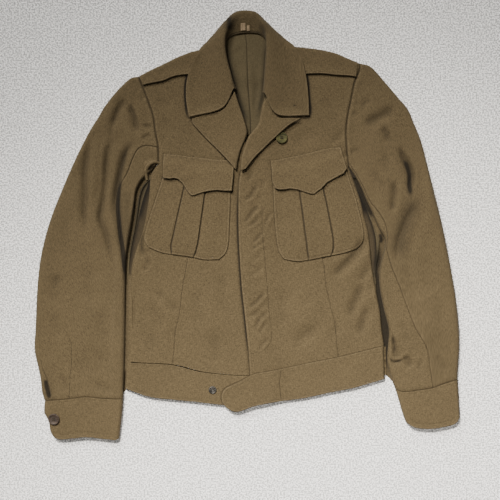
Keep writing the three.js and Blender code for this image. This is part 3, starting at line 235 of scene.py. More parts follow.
# Small creases and puckers of the fronts
FRONT_CREASES = [
    Fold("258 184, 254 191, 250 197, 243 200.5", 3.2, -1.5, 0.7),
    Fold("260 204, 253 212, 248 219, 243 225", 3.4, -1.5, 0.7),
    Fold("259 218, 252 224, 244 227.5", 2.8, -1.2, 0.7),
    Fold("275 212, 269 216, 266 222, 264 228", 2.8, -1.0, 0.8),
    Fold("263 231, 256 240, 251 243", 2.8, -1.3, 0.7),
    Fold("265 240, 258 245, 250 250", 2.6, -0.9, 0.7),
    Fold("262 252, 256 259, 249 262", 3.2, -0.7, 0.6),
    Fold("264 266, 256 272, 247 276", 3.6, -0.7, 0.6),
    Fold("266 290, 260 298, 254 304, 247 307", 3.0, -1.4, 0.8),
    Fold("269 311, 261 317, 257 324, 255 331", 3.0, -1.3, 0.8),
    Fold("268 322, 262 328, 258 336", 2.6, -0.8, 0.6),
    Fold("270 338, 263 343, 258 350", 3.2, -1.0, 0.6),
    Fold("254 172, 250 178, 245 183", 3.0, -0.9, 0.6),
    Fold("265 178, 262 186, 258 192", 4.5, -0.7, 0.4),
    Fold("368 235, 364 242, 357 251, 350 260, 341 268, 333 277", 8.0, -1.9, 0.6),
    Fold("371 262, 366 272, 358 284", 6, -1.0, 0.5),
    Fold("362 281, 358 295, 353 305, 349 321", 8.5, -1.5, 0.6),
    Fold("369 306, 364 313, 361 325, 359 337", 8.0, -1.2, 0.6),
    Fold([(371, 286), (368, 298)], 5, -0.8, 0.4),
    Fold("319 318, 310 330, 300 338, 290 346", 11, -0.9, 0.4),
    Fold("340 322, 334 332, 330 344", 7, -0.7, 0.3),
    Fold("313 290, 306 300, 298 307", 9, -0.6, 0.3),
    Fold("286 285, 283 305, 284 330", 9, -0.6, 0.2),
    Fold("144 231, 141.5 240, 142 250, 145 257", 4.4, -1.6, 0.6),
    Fold("144 256, 148 261, 147 267, 142 272", 5, -1.1, 0.5),
    Fold("133 290, 134 310, 133 334", 5, -1.0, 0.3),
    Fold("158 286, 164 299, 175 309, 178 316", 8, -1.2, 0.4),
    Fold("150 300, 158 316, 166 330", 9, -0.8, 0.3),
    Fold("150 330, 152 345, 150 356", 8, -0.7, 0.3),
    Fold("201 285, 196 305, 199 330", 11, -0.8, 0.2),
    Fold("226 268, 222 295, 226 320", 10, -0.8, 0.2),
    Fold("212 330, 216 348, 214 366", 10, -0.7, 0.2),
    Fold("157 99, 164 103, 172 104", 8, -0.6, 0.3),
    Fold("160 120, 170 126, 176 136", 10, -0.7, 0.3),
    Fold("165 135, 160 146, 166 152", 8, -0.6, 0.3),
    Fold("320 96, 330 110, 334 128", 11, -0.8, 0.3),
    Fold("318 128, 306 138, 290 146", 11, -0.8, 0.3),
    Fold("345 128, 338 138, 328 144", 7, -0.8, 0.4),
    Fold("350 151, 343 157, 336 158", 4.5, -0.9, 0.5),
    Fold("247 248, 246 290, 250 330", 5, 0.5),
    Fold("243 262, 250 266, 262 266", 5, -0.5, 0.4),
    Fold("246 318, 252 314, 262 312", 4, -0.5, 0.4),
]

# Small creases of the sleeves
SLEEVE_CREASES = [
    Fold("130 102, 131 110, 135 118, 137 126, 139 136", 4.2, -1.5, 0.8),
    Fold("141 125, 148 126.5, 154 125.5", 2.6, -0.9, 0.6),
    Fold("142 141, 147 136.5, 152 136", 2.8, -1.0, 0.6),
    Fold("140 96, 143 97, 147 100", 4.5, -0.9, 0.3),
    Fold("146 168, 148 164, 151 162, 155 162.5", 2.6, 1.8),
    Fold("148.5 171, 152 168, 155.5 166.5", 2.2, -1.8),
    Fold("94.3 130, 89.2 150, 85.6 176, 86.6 196, 85.6 214, 88 242", 4.6, -1.5, 0.6),
    Fold("120.8 130, 113.7 142, 108.6 152, 106.5 181, 104.5 201, 101.4 219, 106.5 232, 114.7 263, "
         "119.8 276", 4.2, -1.6, -0.6),
    Fold("103.5 134, 100.4 155, 99.4 186, 95.3 207", 4.4, -1.0, 0.6),
    Fold("125 99, 118 112, 113 128, 112 146", 4.4, -1.6, 0.6),
    Fold("136 141, 129 151, 124 162, 120 178, 117 196, 117 214", 3.6, -1.6, 0.4),
    Fold("112 96, 104 110, 98 124", 7, -1.1, 0.5),
    Fold("78 168, 73 182, 72 200", 9, -1.0, 0.5),
    Fold("61 272, 57 282, 53 290", 7, -0.7, 0.4),
    Fold("70 215, 66 238, 68 262", 12, -0.9, 0.3),
    Fold("96 262, 90 282, 93 306", 12, -1.1, 0.3),
    Fold("108 300, 104 322, 108 348", 10, -0.9, 0.3),
    Fold("52 310, 56 326, 64 338", 10, -0.8, 0.3),
    Fold("84 345, 96 352, 108 366", 9, -0.8, 0.4),
    Fold("95 382, 104 386, 114 391", 6, -0.9, 0.4),
    Fold("60 372, 66 382, 67 392", 6, -0.9, 0.3),
    Fold("359 110, 364 104, 371 100", 5, -0.9, 0.4),
    Fold("351 100, 354 99, 358 99.5", 2.4, -0.7, 0.4),
    Fold("352 105, 355 103.5, 359 104", 2.4, -0.6, 0.4),
    Fold("349 117, 353 114, 359 113", 3.0, -0.9, 0.4),
    Fold("350 155, 353 151, 359 150", 3.0, -0.9, 0.4),
    Fold("361 127, 372 121, 384 115, 396 106", 6, -1.2, 0.5),
    Fold("380 126, 386 133, 387 142", 4, -1.3, 0.5),
    Fold("399.3 143, 400 151, 403.3 159, 408.7 168.7, 410.7 177.3, 409.3 188, 411.5 197", 4.0, -2.2, 0.9),
    Fold("415 201, 410 212.7, 406 220, 402 230, 398.7 238.7, 397 250, 396 267", 5.6, -1.8, 0.8),
    Fold("393.3 178, 394 190.7, 392.7 203, 390 217", 4.4, -1.4, 0.6),
    Fold("372 170, 378 180, 386 190", 6, -1.0, 0.5),
    Fold("388 152, 384 163, 386 176", 8, -1.0, 0.3),
    Fold("428 250, 424 275, 430 300", 13, -1.0, 0.3),
    Fold("404 262, 410 282, 420 300", 10, -0.9, 0.3),
    Fold("440 300, 438 325, 444 345", 10, -0.9, 0.3),
    Fold("390.8 333, 393.2 343.2, 394.4 350.4, 395.8 358", 2.6, -2.0, 0.7),
    Fold("388.6 357, 392.4 361.2, 397.2 360.6, 402.4 359.2", 2.6, -2.0, 0.7),
    Fold("402.8 354, 406.8 360, 412 368", 3.6, -1.2, 0.5),
    Fold([(420, 358), (417, 370)], 4.5, -1.1, 0.4),
    Fold("436 352, 440 362, 448 371", 6, -0.9, 0.4),
    Fold("400 318, 404 332, 406 344", 5.5, -1.0, 0.4),
]

# Creases of the back's inside, seen through the neck
BACK_CREASES = [
    Fold("229 58, 236 52, 244 45", 3.0, -0.8, 0.7),
    Fold("238 62, 240 90, 245 122", 4.5, -1.2, 0.4),
    Fold("256 60, 257 85, 254 118", 4.5, -1.2, 0.4),
    Fold("250.5 50, 251 90, 252 128", 3.5, 0.9),
]

# Seams that are drawn into the cloth, each a sharp trough with a ridge along one side
DARTS = [
    Fold("188 259, 185.5 273, 183 287, 181 303, 179 318, 175.8 330, 174.5 348, "
         "173 363", 0.9, -0.8, 0.8, (0, 0)),
    Fold("322 258, 324 268, 325 280, 326.5 290, 329 300, 331 310, 333.5 318, 335.2 330, 336.5 345, "
         "338.4 357", 0.9, -0.8, -0.8, (0, 0)),
]
SLEEVE_SEAMS = [
    Fold("64.5 326.6, 72.4 341, 73.2 352, 72.5 366, 71.6 375, 70.6 398", 0.9, -0.6, 0.8, (0.2, 0)),
    Fold("42 358, 45 370, 49 380, 52 396", 1.6, -1.6, 1.0, (0.5, 0)),
]
CENTRE_BACK_SEAM = "244.6 33, 246.3 40, 247.2 65, 248.1 87, 249.5 105.5, 250.5 121, 250.5 250, 250 375"

# Deep hollows where hardly any light comes in, their shade painted into the cloth's colour: a line on the
# sheet, its half width in millimetres and how dark the painted shade is; 1 is as dark as cloth gets, and more
# than 1 makes that middle wider
Hollow = namedtuple("Hollow", "line width depth")

SLEEVE_HOLLOWS = [
    Hollow("123 176, 119.6 192, 118.5 207, 119.5 218, 121.5 236, 124 252, 126 280", 3.6, 1.7),
    Hollow("120 185, 119.5 205, 121 225, 124 250", 8.0, 0.6),
    Hollow("129 190, 127.5 210, 127 240", 6.0, 0.4),
    Hollow("133 143, 127 152, 123 165, 119.5 180, 117.5 195, 117.5 210", 4.5, 0.8),
    Hollow("148.5 171, 152 168, 155.5 166.5", 2.0, 1.1),
    Hollow("135.5 200, 135 208, 133 220", 2.4, 0.9),
    Hollow("402 158, 406 166, 408.5 175, 408.5 188, 410 198", 4.6, 1.3),
    Hollow("417 196, 411 209, 406 222, 401 238, 399 262", 14, 0.62),
    Hollow("46.6 378, 48.6 388, 51.2 398", 3.2, 1.6),
    Hollow("391 334, 393.2 343, 395 354", 2.2, 0.8),
    Hollow("389 357, 392.4 361, 397 360.6, 402 359", 2.0, 0.9),
    Hollow("131 104, 133 112, 137 125", 2.4, 0.7),
]
FRONT_HOLLOWS = [
    Hollow("144 233, 142 243, 143 255", 4.0, 0.7),
    Hollow("366 238, 359 248, 350 258, 340 268", 4.5, 0.5),
]
# Painted shade on the back's inside, under the collar's roll on each side of the neck
NECK_HOLLOWS = [
    Hollow("224.6 40, 226.8 62, 231 77, 234 90.5, 239.6 107, 243.4 118, 247.2 132.5", 9, 1.0),
    Hollow("266.4 38, 265.4 62, 264.2 79, 262.4 95, 260 107, 256.2 122", 5, 0.8),
]
# The free edge of the collar's leaf, where its shade falls on the fronts
LEAF_EDGES = {"right": "192 119.4, 188.6 118, 185.8 101, 186 84, 190 68.4, 198 54",
              "left": "303 119, 309.4 117, 309 99, 307 79, 302 60, 295.6 50.4"}
# The sides of the backs, in the shade of the sleeves
SIDE_HOLLOWS = [
    Hollow("350 168, 355 180, 361 195, 366 206, 371 219", 7, 1.1),
    Hollow("381 236, 380 246, 376 262, 375 282", 4.5, 1.0),
    Hollow("158 164, 146 182, 140 198, 136 218, 131 242, 129 262", 6, 0.9),
]
# The valley between the body and the left sleeve, dark above and below a fold that the light reaches
VALLEY_HOLLOWS = [
    Hollow("352 160, 358 180, 366 203, 373 222", 11, 1.3),
    Hollow("379 233, 381 239, 380.5 244", 4, 1.1),
    Hollow("381 238, 378 256, 374 272, 379 290, 382 305, 385 325, 387 345, 387 378", 9, 1.3),
]
# Painted shade inside the collar's stand and in a nick in the right side of its leaf, and a dark fleck in the
# left
COLLAR_HOLLOWS = [
    Hollow("229 17, 229.5 25, 229 33", 7, 1.0),
    Hollow("262 26, 263.5 31, 264 36", 6, 0.55),
    Hollow([(202, 64.2), (202.8, 65)], 1.3, 1.3),
    Hollow([(292.6, 106.4), (295.4, 106.2)], 1.5, 1.2),
]

# Lines of topstitching on the sheet
FLY_STITCHING = "262 206, 262.5 232, 264 250, 267 285, 270 320, 271.5 337, 269 344, 263.5 349.5, 252 353"


def across_table(x):
    return (x - MIDDLE[0]) * SQUARE


def on_table(points):
    """Points of the pattern sheet, in millimetres on the table; their heights are kept."""
    if isinstance(points, str):
        points = [point.split() for point in points.split(",")]
    placed = np.array(points, float)
    placed[:, 0] = across_table(placed[:, 0])
    placed[:, 1] = (MIDDLE[1] - placed[:, 1]) * SQUARE
    return placed


def smooth_at(knots, shares):
    """Points on the smooth curve through the knots, from its first knot at 0 to its last at 1."""
    ends = np.vstack([2 * knots[0] - knots[1], knots, 2 * knots[-1] - knots[-2]])
    along = np.asarray(shares, float) * (len(knots) - 1)
    i = np.clip(along.astype(int), 0, len(knots) - 2)
    t = (along - i)[:, None]
    p = [ends[i + n] for n in range(4)]
    d = [np.sqrt(np.linalg.norm(p[n + 1] - p[n], axis=1))[:, None] + 1e-9 for n in range(3)]
    leave = ((p[1] - p[0]) / d[0] - (p[2] - p[0]) / (d[0] + d[1]) + (p[2] - p[1]) / d[1]) * d[1]
    arrive = ((p[2] - p[1]) / d[1] - (p[3] - p[1]) / (d[1] + d[2]) + (p[3] - p[2]) / d[2]) * d[1]
    run = p[2] - p[1]
    return p[1] + t * (leave + t * (3 * run - 2 * leave - arrive + t * (leave + arrive - 2 * run)))


class Line:
    """A line on the table in millimetres, smooth unless it is said to be straight between its points."""

    def __init__(self, points, straight=False, placed=False):
        knots = np.asarray(points, float) if placed else on_table(points)
        self.points = knots if straight else smooth_at(knots, np.linspace(0, 1, 5 * len(knots) + 1))
        steps = np.linalg.norm(np.diff(self.points, axis=0), axis=1)
        self.lengths = np.concatenate([[0], np.cumsum(steps)])
        self.length = self.lengths[-1]

    def at(self, share):
        wanted = np.asarray(share, float) * self.length
        return np.stack([np.interp(wanted, self.lengths, self.points[:, k]) for k in (0, 1)], -1)

    def near(self, p):
        """Distance to the nearest point of the line, the side of it, and its share of the length."""
        start, run = self.points[:-1], np.diff(self.points, axis=0)
        size = (run ** 2).sum(-1) + 1e-12
        away = p[..., None, :] - start
        t = np.clip((away * run).sum(-1) / size, 0, 1)
        away = away - t[..., None] * run
        gap = (away ** 2).sum(-1)
        k = gap.argmin(-1)[..., None]
        side = np.sign(run[:, 0] * away[..., 1] - run[:, 1] * away[..., 0])
        t, side, gap = (np.take_along_axis(v, k, -1)[..., 0] for v in (t, side, gap))
        k = k[..., 0]
        share = (self.lengths[k] + t * (self.lengths[k + 1] - self.lengths[k])) / self.length
        return np.sqrt(gap), side, share

    def distance(self, p):
        return self.near(p)[0]

    def between(self, first, last):
        """The same line with other end points."""
        return Line(np.vstack([first, self.points[1:-1], last]), straight=True, placed=True)

    def moved(self, distance):
        """The same line moved sideways, to the left of its direction."""
        run = np.gradient(self.points, axis=0)
        run /= np.linalg.norm(run, axis=1)[:, None]
        shift = np.stack([-run[:, 1], run[:, 0]], -1) * distance
        return Line(self.points + shift, straight=True, placed=True)


STRAIGHT = ("flapLowRight", "flapLowLeft")
line = {name: Line(points, straight=name in STRAIGHT) for name, points in OUTLINE.items()}


def joined(first, second):
    """Two lines end to end; turn is the share of its length at which they meet."""
    whole = Line(np.vstack([first.points, second.points[1:]]), straight=True, placed=True)
    whole.turn = first.length / whole.length
    return whole


def smoothstep(value, low, high):
    t = np.clip((value - low) / (high - low), 0, 1)
    return t * t * (3 - 2 * t)


def placed_folds(table, deeper=1.0):
    """The folds of a table on the table top, each made deeper."""
    return [fold._replace(line=Line(fold.line), rise=fold.rise * deeper) for fold in table]


def folded(folds, p):
    """Rise of all the folds of a table at each point."""
    rise = np.zeros(p.shape[:-1])
    for fold in folds:
        reach = 3.5 * fold.width * (1.6 if fold.lean else 1)
        low, high = fold.line.points.min(0) - reach, fold.line.points.max(0) + reach
        here = ((p > low) & (p < high)).all(-1)
        if not here.any():
            continue
        distance, side, share = fold.line.near(p[here])
        across = distance * side / fold.width
        profile = np.exp(-(across ** 2))
        if fold.lean:
            ridge = across * np.sign(fold.lean) - 1.7
            profile -= abs(fold.lean) * np.exp(-((ridge / 1.25) ** 2))
        first, last = (smoothstep(end, -1e-6, fade + 1e-6) if fade else 1
                       for end, fade in zip((share, 1 - share), fold.fade))
        beyond = np.exp(-((np.maximum(distance - 3.5 * fold.width, 0)) ** 2))
        rise[here] += fold.rise * profile * first * last * beyond
    return rise


LATTICE = 64  # points along each side of an uneven field, which then repeats


def uneven(p, size, seed):
    """A smooth uneven field between -1 and 1 whose lumps are about as large as the size."""
    lattice = np.random.default_rng(seed).uniform(-1, 1, (LATTICE, LATTICE))
    q = p / size + (LATTICE - 1) / 2
    i = np.floor(q).astype(int)
    f = q - i
    f = f * f * (3 - 2 * f)

    def corner(a, b):
        return lattice[(i[..., 0] + a) % LATTICE, (i[..., 1] + b) % LATTICE]

    low = corner(0, 0) * (1 - f[..., 0]) + corner(1, 0) * f[..., 0]
    high = corner(0, 1) * (1 - f[..., 0]) + corner(1, 1) * f[..., 0]
    return low * (1 - f[..., 1]) + high * f[..., 1]


def slack(p, seed):
    """Slight waviness of cloth that lies loose."""
    return 0.75 * uneven(p, 46, seed) + 0.34 * uneven(p, 21, seed + 1) + 0.1 * uneven(p, 9, seed + 2)


def quarter_round(distance, radius):
    """How high the upper face of a round free edge stands at a distance from that edge."""
    inside = radius - np.clip(distance, 0, radius)
    return np.sqrt(radius ** 2 - inside ** 2)


def nose(distance, cloth=CLOTH):
    """How far the upper face of turned cloth lies below its full height, close to its edge."""
    return (quarter_round(distance, NOSE) / NOSE - 1) * cloth * 0.85


def groove(distance, width, depth):
    """Depth of a seam or a line of stitching pulled into the cloth, less than nought."""
    return -depth * np.exp(-((distance / width) ** 2))


def shares(length, step, first=(0,), last=(0,)):
    """Shares of a length: even steps between points that stand at given distances from its ends."""
    head = [d / length for d in first]
    tail = [1 - d / length for d in reversed(last)]
    count = max(2, round((tail[0] - head[-1]) * length / step))
    return np.concatenate([head[:-1], np.linspace(head[-1], tail[0], count + 1), tail[1:]])


def turning(whole, step, last=(0,)):
    """Shares down a joined line, with one of them on its turn."""
    before = np.linspace(0, whole.turn, round(whole.turn * whole.length / step) + 1)
    rest = shares((1 - whole.turn) * whole.length, step, last=last)
    return np.concatenate([before, whole.turn + (1 - whole.turn) * rest[1:]])


def patch(top, bottom, left, right):
    """A four-sided piece of cloth between its edges, as a function of the shares across and down."""

    def shape(across, down):
        u, v = np.asarray(across, float)[..., None], np.asarray(down, float)[..., None]
        ruled = top.at(across) * (1 - v) + bottom.at(across) * v
        ruled = ruled + left.at(down) * (1 - u) + right.at(down) * u
        high, low = (edge.at(0) * (1 - u) + edge.at(1) * u for edge in (top, bottom))
        return ruled - (high * (1 - v) + low * v)

    return shape


def spread(shape, across, down):
    """The points of a patch, and its shares across and down at each of them."""
    v, u = np.meshgrid(down, across, indexing="ij")
    return shape(u, v), u, v


def raised(p, z):
    return np.concatenate([p, z[..., None]], -1)


def normals_of(face, ring=False):
    """Normals of a grid; a ring's last column stands beside its first."""
    if ring:
        face = np.concatenate([face[:, -1:], face, face[:, :1]], 1)
    n = np.cross(np.gradient(face, axis=1), np.gradient(face, axis=0))
    n /= np.linalg.norm(n, axis=-1, keepdims=True) + 1e-9
    return n[:, 1:-1] if ring else n


def lined(face, cloth, ring=False):
    """The hidden face of the cloth, below the middle of the upper one."""
    n = normals_of(face, ring)
    rows, columns = face.shape[:2]
    towards = -1 if n[rows // 3, columns // 4, 2] > 0 else 1
    return face + n * cloth * towards


def eased(values, times):
    """A grid of values smoothed over its neighbours."""
    for _ in range(times):
        wide = np.pad(values, 1, mode="edge")
        values = (wide[:-2, 1:-1] + wide[2:, 1:-1] + wide[1:-1, :-2] + wide[1:-1, 2:] + 2 * values) / 6
    return values


def relief_of(face):
    """How deep each point lies below the cloth around it, from -1 on a ridge to 1 in a hollow."""
    z = face[..., 2]
    near, far = eased(z, 6), eased(z, 40)
    return np.clip((near - z) * 0.8 + (far - near) * 0.3, -1, 1)


FAR = 9.0  # widths from a seam at which it no longer shows
HOLLOW_FADE = 0.22  # share of a hollow's length over which its ends fade out


def drawn(p, lines):
    """Signed distance to the nearest of the drawn lines, which are seams and painted shadow lines under edges,
    in its own width, and growing fast away from it.
    """
    nearest_seam = np.full(p.shape[:-1], FAR)
    for seam, width in lines:
        distance, side, _ = seam.near(p)
        away = distance * np.where(side == 0, 1, side) / width
        nearest_seam = np.where(np.abs(away) < np.abs(nearest_seam), away, nearest_seam)
    return nearest_seam * (1 + (nearest_seam / 2) ** 2)


def darkened(relief, p, hollows):
    """Relief with the painted shade of deep hollows added, up to 2 in the middle of a hollow."""
    for path, width, depth in hollows:
        distance, _, share = path.near(p)
        ends = smoothstep(np.minimum(share, 1 - share), -HOLLOW_FADE / 3, HOLLOW_FADE)
        relief = np.maximum(relief, 2 * depth * ends * np.exp(-((distance / width) ** 2)))
    return relief


def lengths_along(face, axis):
    steps = np.linalg.norm(np.diff(face, axis=axis), axis=-1)
    start = np.zeros_like(face[:1, :, 0] if axis == 0 else face[:, :1, 0])
    return np.concatenate([start, np.cumsum(steps, axis=axis)], axis)


Piece = namedtuple("Piece", "made node slot rests_on flat")
pieces = {}


def make_mesh(name, points, quads, corners, marks, material):
    """A mesh in metres from points in millimetres, with the cloth's own UV map and its attributes."""
    mesh = bpy.data.meshes.new(name)
    mesh.from_pydata((points * MM).tolist(), [], quads.tolist())
    mesh.polygons.foreach_set("use_smooth", np.ones(len(quads), bool))
    mesh.uv_layers.new(name="Cloth").data.foreach_set("uv", (corners * MM).ravel().astype(np.float32))
    for label, values in marks.items():
        mesh.attributes.new(label, "FLOAT", "POINT").data.foreach_set("value", values.astype(np.float32))
    mesh.set_sharp_from_angle(angle=math.radians(52))
    mesh.materials.append(material)
    mesh.validate()
    made = bpy.data.objects.new(name, mesh)
    bpy.context.scene.collection.objects.link(made)
    return made


def shell(name, face, lining, material, node, slot, rests_on, wear_and_highlight=0, ring=False, seam=FAR, hollows=()):
    """A closed shell of cloth between two faces that are grids of as many points."""
    rows, columns = face.shape[:2]
    count = rows * columns
    index = np.arange(count).reshape(rows, columns)
    wide = np.concatenate([face, face[:, :1]], 1) if ring else face
    if ring:
        index = np.hstack([index, index[:, :1]])
    middle = wide.shape[1] // 2
    u = lengths_along(wide, 1)
    u -= u[:, middle:middle + 1]
    uv = np.stack([u, -lengths_along(wide, 0)], -1)
    a, b, c, d = ((slice(None, -1), slice(None, -1)), (slice(None, -1), slice(1, None)),
                  (slice(1, None), slice(1, None)), (slice(1, None), slice(None, -1)))
    quads, corners = [], []
    for order, shift in (((a, b, c, d), 0), ((a, d, c, b), count)):
        quads.append(np.stack([index[k] for k in order], -1).reshape(-1, 4) + shift)
        corners.append(np.stack([uv[k] for k in order], 2).reshape(-1, 2))
    rims = [(index[0], uv[0]), (index[-1][::-1], uv[-1][::-1])]
    if not ring:
        rims += [(index[:, -1], uv[:, -1]), (index[::-1, 0], uv[::-1, 0])]
    for rim, rim_uv in rims:
        quads.append(np.stack([rim[1:], rim[:-1], rim[:-1] + count, rim[1:] + count], -1))
        corners.append(np.stack([rim_uv[1:], rim_uv[:-1], rim_uv[:-1], rim_uv[1:]], 1).reshape(-1, 2))
    quads, corners = np.vstack(quads), np.vstack(corners).reshape(-1, 4, 2)
    points = np.vstack([face.reshape(-1, 3), lining.reshape(-1, 3)])
    p = points[quads]
    volume = sum((p[:, 0] * np.cross(p[:, k], p[:, k + 1])).sum() for k in (1, 2))
    if volume < 0:
        quads, corners = quads[:, ::-1], corners[:, ::-1]
    # Marks for the cloth's colour: relief for painted shade in hollows and painted light on ridges, rubbed
    # edges with a painted highlight, and drawn seams with painted shadow lines
    marks = {"relief": darkened(relief_of(face), face[..., :2], hollows), "wear_and_highlight": wear_and_highlight, "seam": seam}
    marks = {label: np.tile((values + np.zeros((rows, columns))).ravel(), 2)
             for label, values in marks.items()}
    made = make_mesh("sewn_" + name, points, quads, corners.reshape(-1, 2), marks, material)
    flat = (lengths_along(face, 1).max() * MM, lengths_along(face, 0).max() * MM)
    pieces[name] = Piece(made, node, slot, rests_on, flat)


def edge_wear_and_highlight(distance, reach=1.5):
    """Rubbing and a painted highlight along a free edge, strongest where its round begins."""
    return np.exp(-(((distance - 1.3) / reach) ** 2))


def nearest(p, lines):
    return np.min([each.distance(p) for each in lines], axis=0)


def add(tree, kind, inputs=None, **settings):
    """A node with its settings and its inputs, each a value or the socket that feeds it."""
    made = tree.nodes.new(kind)
    for key, value in settings.items():
        setattr(made, key, value)
    for key, value in (inputs or {}).items():
        if isinstance(value, bpy.types.NodeSocket):
            tree.links.new(value, made.inputs[key])
        else:
            made.inputs[key].default_value = value
    return made


def new_group(name, kind, inputs, outputs):
    """A node group with named sockets; returns it and the sockets inside it."""
    tree = bpy.data.node_groups.new(name, kind)
    for label, socket_type, value in inputs:
        socket = tree.interface.new_socket(label, in_out="INPUT", socket_type=socket_type)
        if value is not None:
            socket.default_value = value
    for label, socket_type in outputs:
        tree.interface.new_socket(label, in_out="OUTPUT", socket_type=socket_type)
    return tree, tree.nodes.new("NodeGroupInput").outputs, tree.nodes.new("NodeGroupOutput").inputs


def noise(tree, vector, stretch, detail=2.0, roughness=0.5):
    """Noise between 0 and 1 whose lumps are 1 over the stretch, in metres, along each axis."""
    mapped = add(tree, "ShaderNodeMapping", {"Vector": vector, "Scale": stretch})
    made = add(tree, "ShaderNodeTexNoise", {"Vector": mapped.outputs[0], "Scale": 1, "Detail": detail,
                                            "Roughness": roughness})
    return made.outputs["Fac"]


def ranged(tree, value, low, high, to_low=0.0, to_high=1.0):
    return add(tree, "ShaderNodeMapRange", {"Value": value, "From Min": low, "From Max": high, "To Min": to_low,
                                            "To Max": to_high}).outputs[0]


def maths(tree, operation, a, b=0.0):
    return add(tree, "ShaderNodeMath", {0: a, 1: b}, operation=operation).outputs[0]


def blended(tree, share, a, b):
    return add(tree, "ShaderNodeMix", {0: share, 6: a, 7: b}, data_type="RGBA").outputs[2]


def scaled_colour(tree, colour, factor):
    return add(tree, "ShaderNodeVectorMath", {0: colour, "Scale": factor}, operation="SCALE").outputs[0]


def bell(tree, value, middle, width):
    """1 where the value is at the middle, fading to nought over the width."""
    away = maths(tree, "DIVIDE", maths(tree, "SUBTRACT", value, middle), width)
    return maths(tree, "EXPONENT", maths(tree, "MULTIPLY", maths(tree, "MULTIPLY", away, away), -1.0))


TWILL_PITCH = 0.0011
TWILL_ANGLE = 52
BANDS_PER_UNIT = 0.314159  # a Wave texture of scale 1 has one band in this many metres
# Relief from and to, and how pale the cloth is at each: painted light on ridges, painted shade in hollows and
# deep hollows
RELIEF_SHADES = ((-1, 0, 1.12, 1.0), (0, 1, 1.0, 0.72), (1, 2, 1.0, 0.26))
SEAM_AND_SHADOW_LINE_SHADE = 0.58  # how pale the cloth is along the drawn lines: dark seams, and painted shadow lines under cloth that lies on top
RIDGE_HIGHLIGHT = 1.07  # and on the ridge beside it, where the paler colour is a painted highlight
# How pale a rubbed edge is, partly real rubbing and partly a painted highlight
WEAR_AND_HIGHLIGHT_SHADE = 1.2


def serge_group():
    """Wool serge: twill ribs, heathered threads, soft clouds of uneven tone, rubbed edges with a painted
    highlight, painted shade in hollows with painted light on ridges, and dark seams and painted shadow lines
    with a painted highlight beside each.
    """
    colour, number = "NodeSocketColor", "NodeSocketFloat"
    tree, given, out = new_group("Serge", "ShaderNodeTree", [
        ("Cloth", "NodeSocketVector", None), ("Pale Thread", colour, (0.3, 0.2, 0.1, 1)),
        ("Dark Thread", colour, (0.1, 0.1, 0.1, 1)), ("Relief", number, 0), ("Wear And Highlight", number, 0),
        ("Seam", number, FAR), ("Heather", number, 1)],
        [("Colour", colour), ("Height", number), ("Roughness", number)])
    cloth = given["Cloth"]
    turned = add(tree, "ShaderNodeMapping", {"Vector": cloth, "Rotation": (0, 0, math.radians(TWILL_ANGLE))})
    ribs = add(tree, "ShaderNodeTexWave", {"Vector": turned.outputs[0], "Scale": BANDS_PER_UNIT / TWILL_PITCH,
                                           "Distortion": 0.6, "Detail": 1.0}).outputs["Fac"]
    warp = noise(tree, cloth, (780, 150, 1))
    weft = noise(tree, cloth, (160, 820, 1))
    threads = ranged(tree, maths(tree, "ADD", warp, weft), 0.78, 1.22)
    flecks = ranged(tree, noise(tree, cloth, (540, 430, 1), 3.0, 0.7), 0.38, 0.62)
    clouds = ranged(tree, noise(tree, cloth, (19, 14, 1), 4.0, 0.6), 0.3, 0.7, 0.95, 1.05)
    mixed = maths(tree, "ADD", maths(tree, "MULTIPLY", threads, 0.45), maths(tree, "MULTIPLY", flecks, 0.55))
    plain = maths(tree, "MULTIPLY", maths(tree, "SUBTRACT", 1.0, given["Heather"]), 0.5)
    mixed = maths(tree, "ADD", maths(tree, "MULTIPLY", mixed, given["Heather"]), plain)
    base = blended(tree, mixed, given["Dark Thread"], given["Pale Thread"])
    shade = maths(tree, "MULTIPLY", clouds, ranged(tree, ribs, 0, 1, 0.93, 1.05))
    # Painted light on ridges and painted shade in hollows, from the relief
    for low, high, at_low, at_high in RELIEF_SHADES:
        shade = maths(tree, "MULTIPLY", shade, ranged(tree, given["Relief"], low, high, at_low, at_high))
    # Dark seams, and painted shadow lines under the edges of cloth that lies on top, each with a painted
    # highlight on the ridge beside it
    seam = bell(tree, given["Seam"], 0.0, 0.8)
    ridge = bell(tree, given["Seam"], 2.2, 1.3)
    shade = maths(tree, "MULTIPLY", shade, ranged(tree, seam, 0, 1, 1.0, SEAM_AND_SHADOW_LINE_SHADE))
    shade = maths(tree, "MULTIPLY", shade, ranged(tree, ridge, 0, 1, 1.0, RIDGE_HIGHLIGHT))
    # Rubbed edges, partly real rubbing and partly a painted highlight
    patchy = ranged(tree, noise(tree, cloth, (60, 60, 1), 3.0), 0.35, 0.7, 0.55, 1.0)
    worn_and_lit = maths(tree, "MULTIPLY", given["Wear And Highlight"], patchy)
    shade = maths(tree, "MULTIPLY", shade, ranged(tree, worn_and_lit, 0, 1, 1.0, WEAR_AND_HIGHLIGHT_SHADE))
    tree.links.new(scaled_colour(tree, base, shade), out["Colour"])
    height = maths(tree, "ADD", maths(tree, "MULTIPLY", ribs, 0.3), maths(tree, "MULTIPLY", threads, 0.7))
    tree.links.new(maths(tree, "SUBTRACT", height, maths(tree, "MULTIPLY", seam, 1.6)), out["Height"])
    tree.links.new(ranged(tree, worn_and_lit, 0, 1, 0.92, 0.78), out["Roughness"])
    return tree


WEAVE_DEPTH = 0.0005
SHEEN = 0.04
SHEEN_TINT = (0.75, 0.68, 0.52, 1)


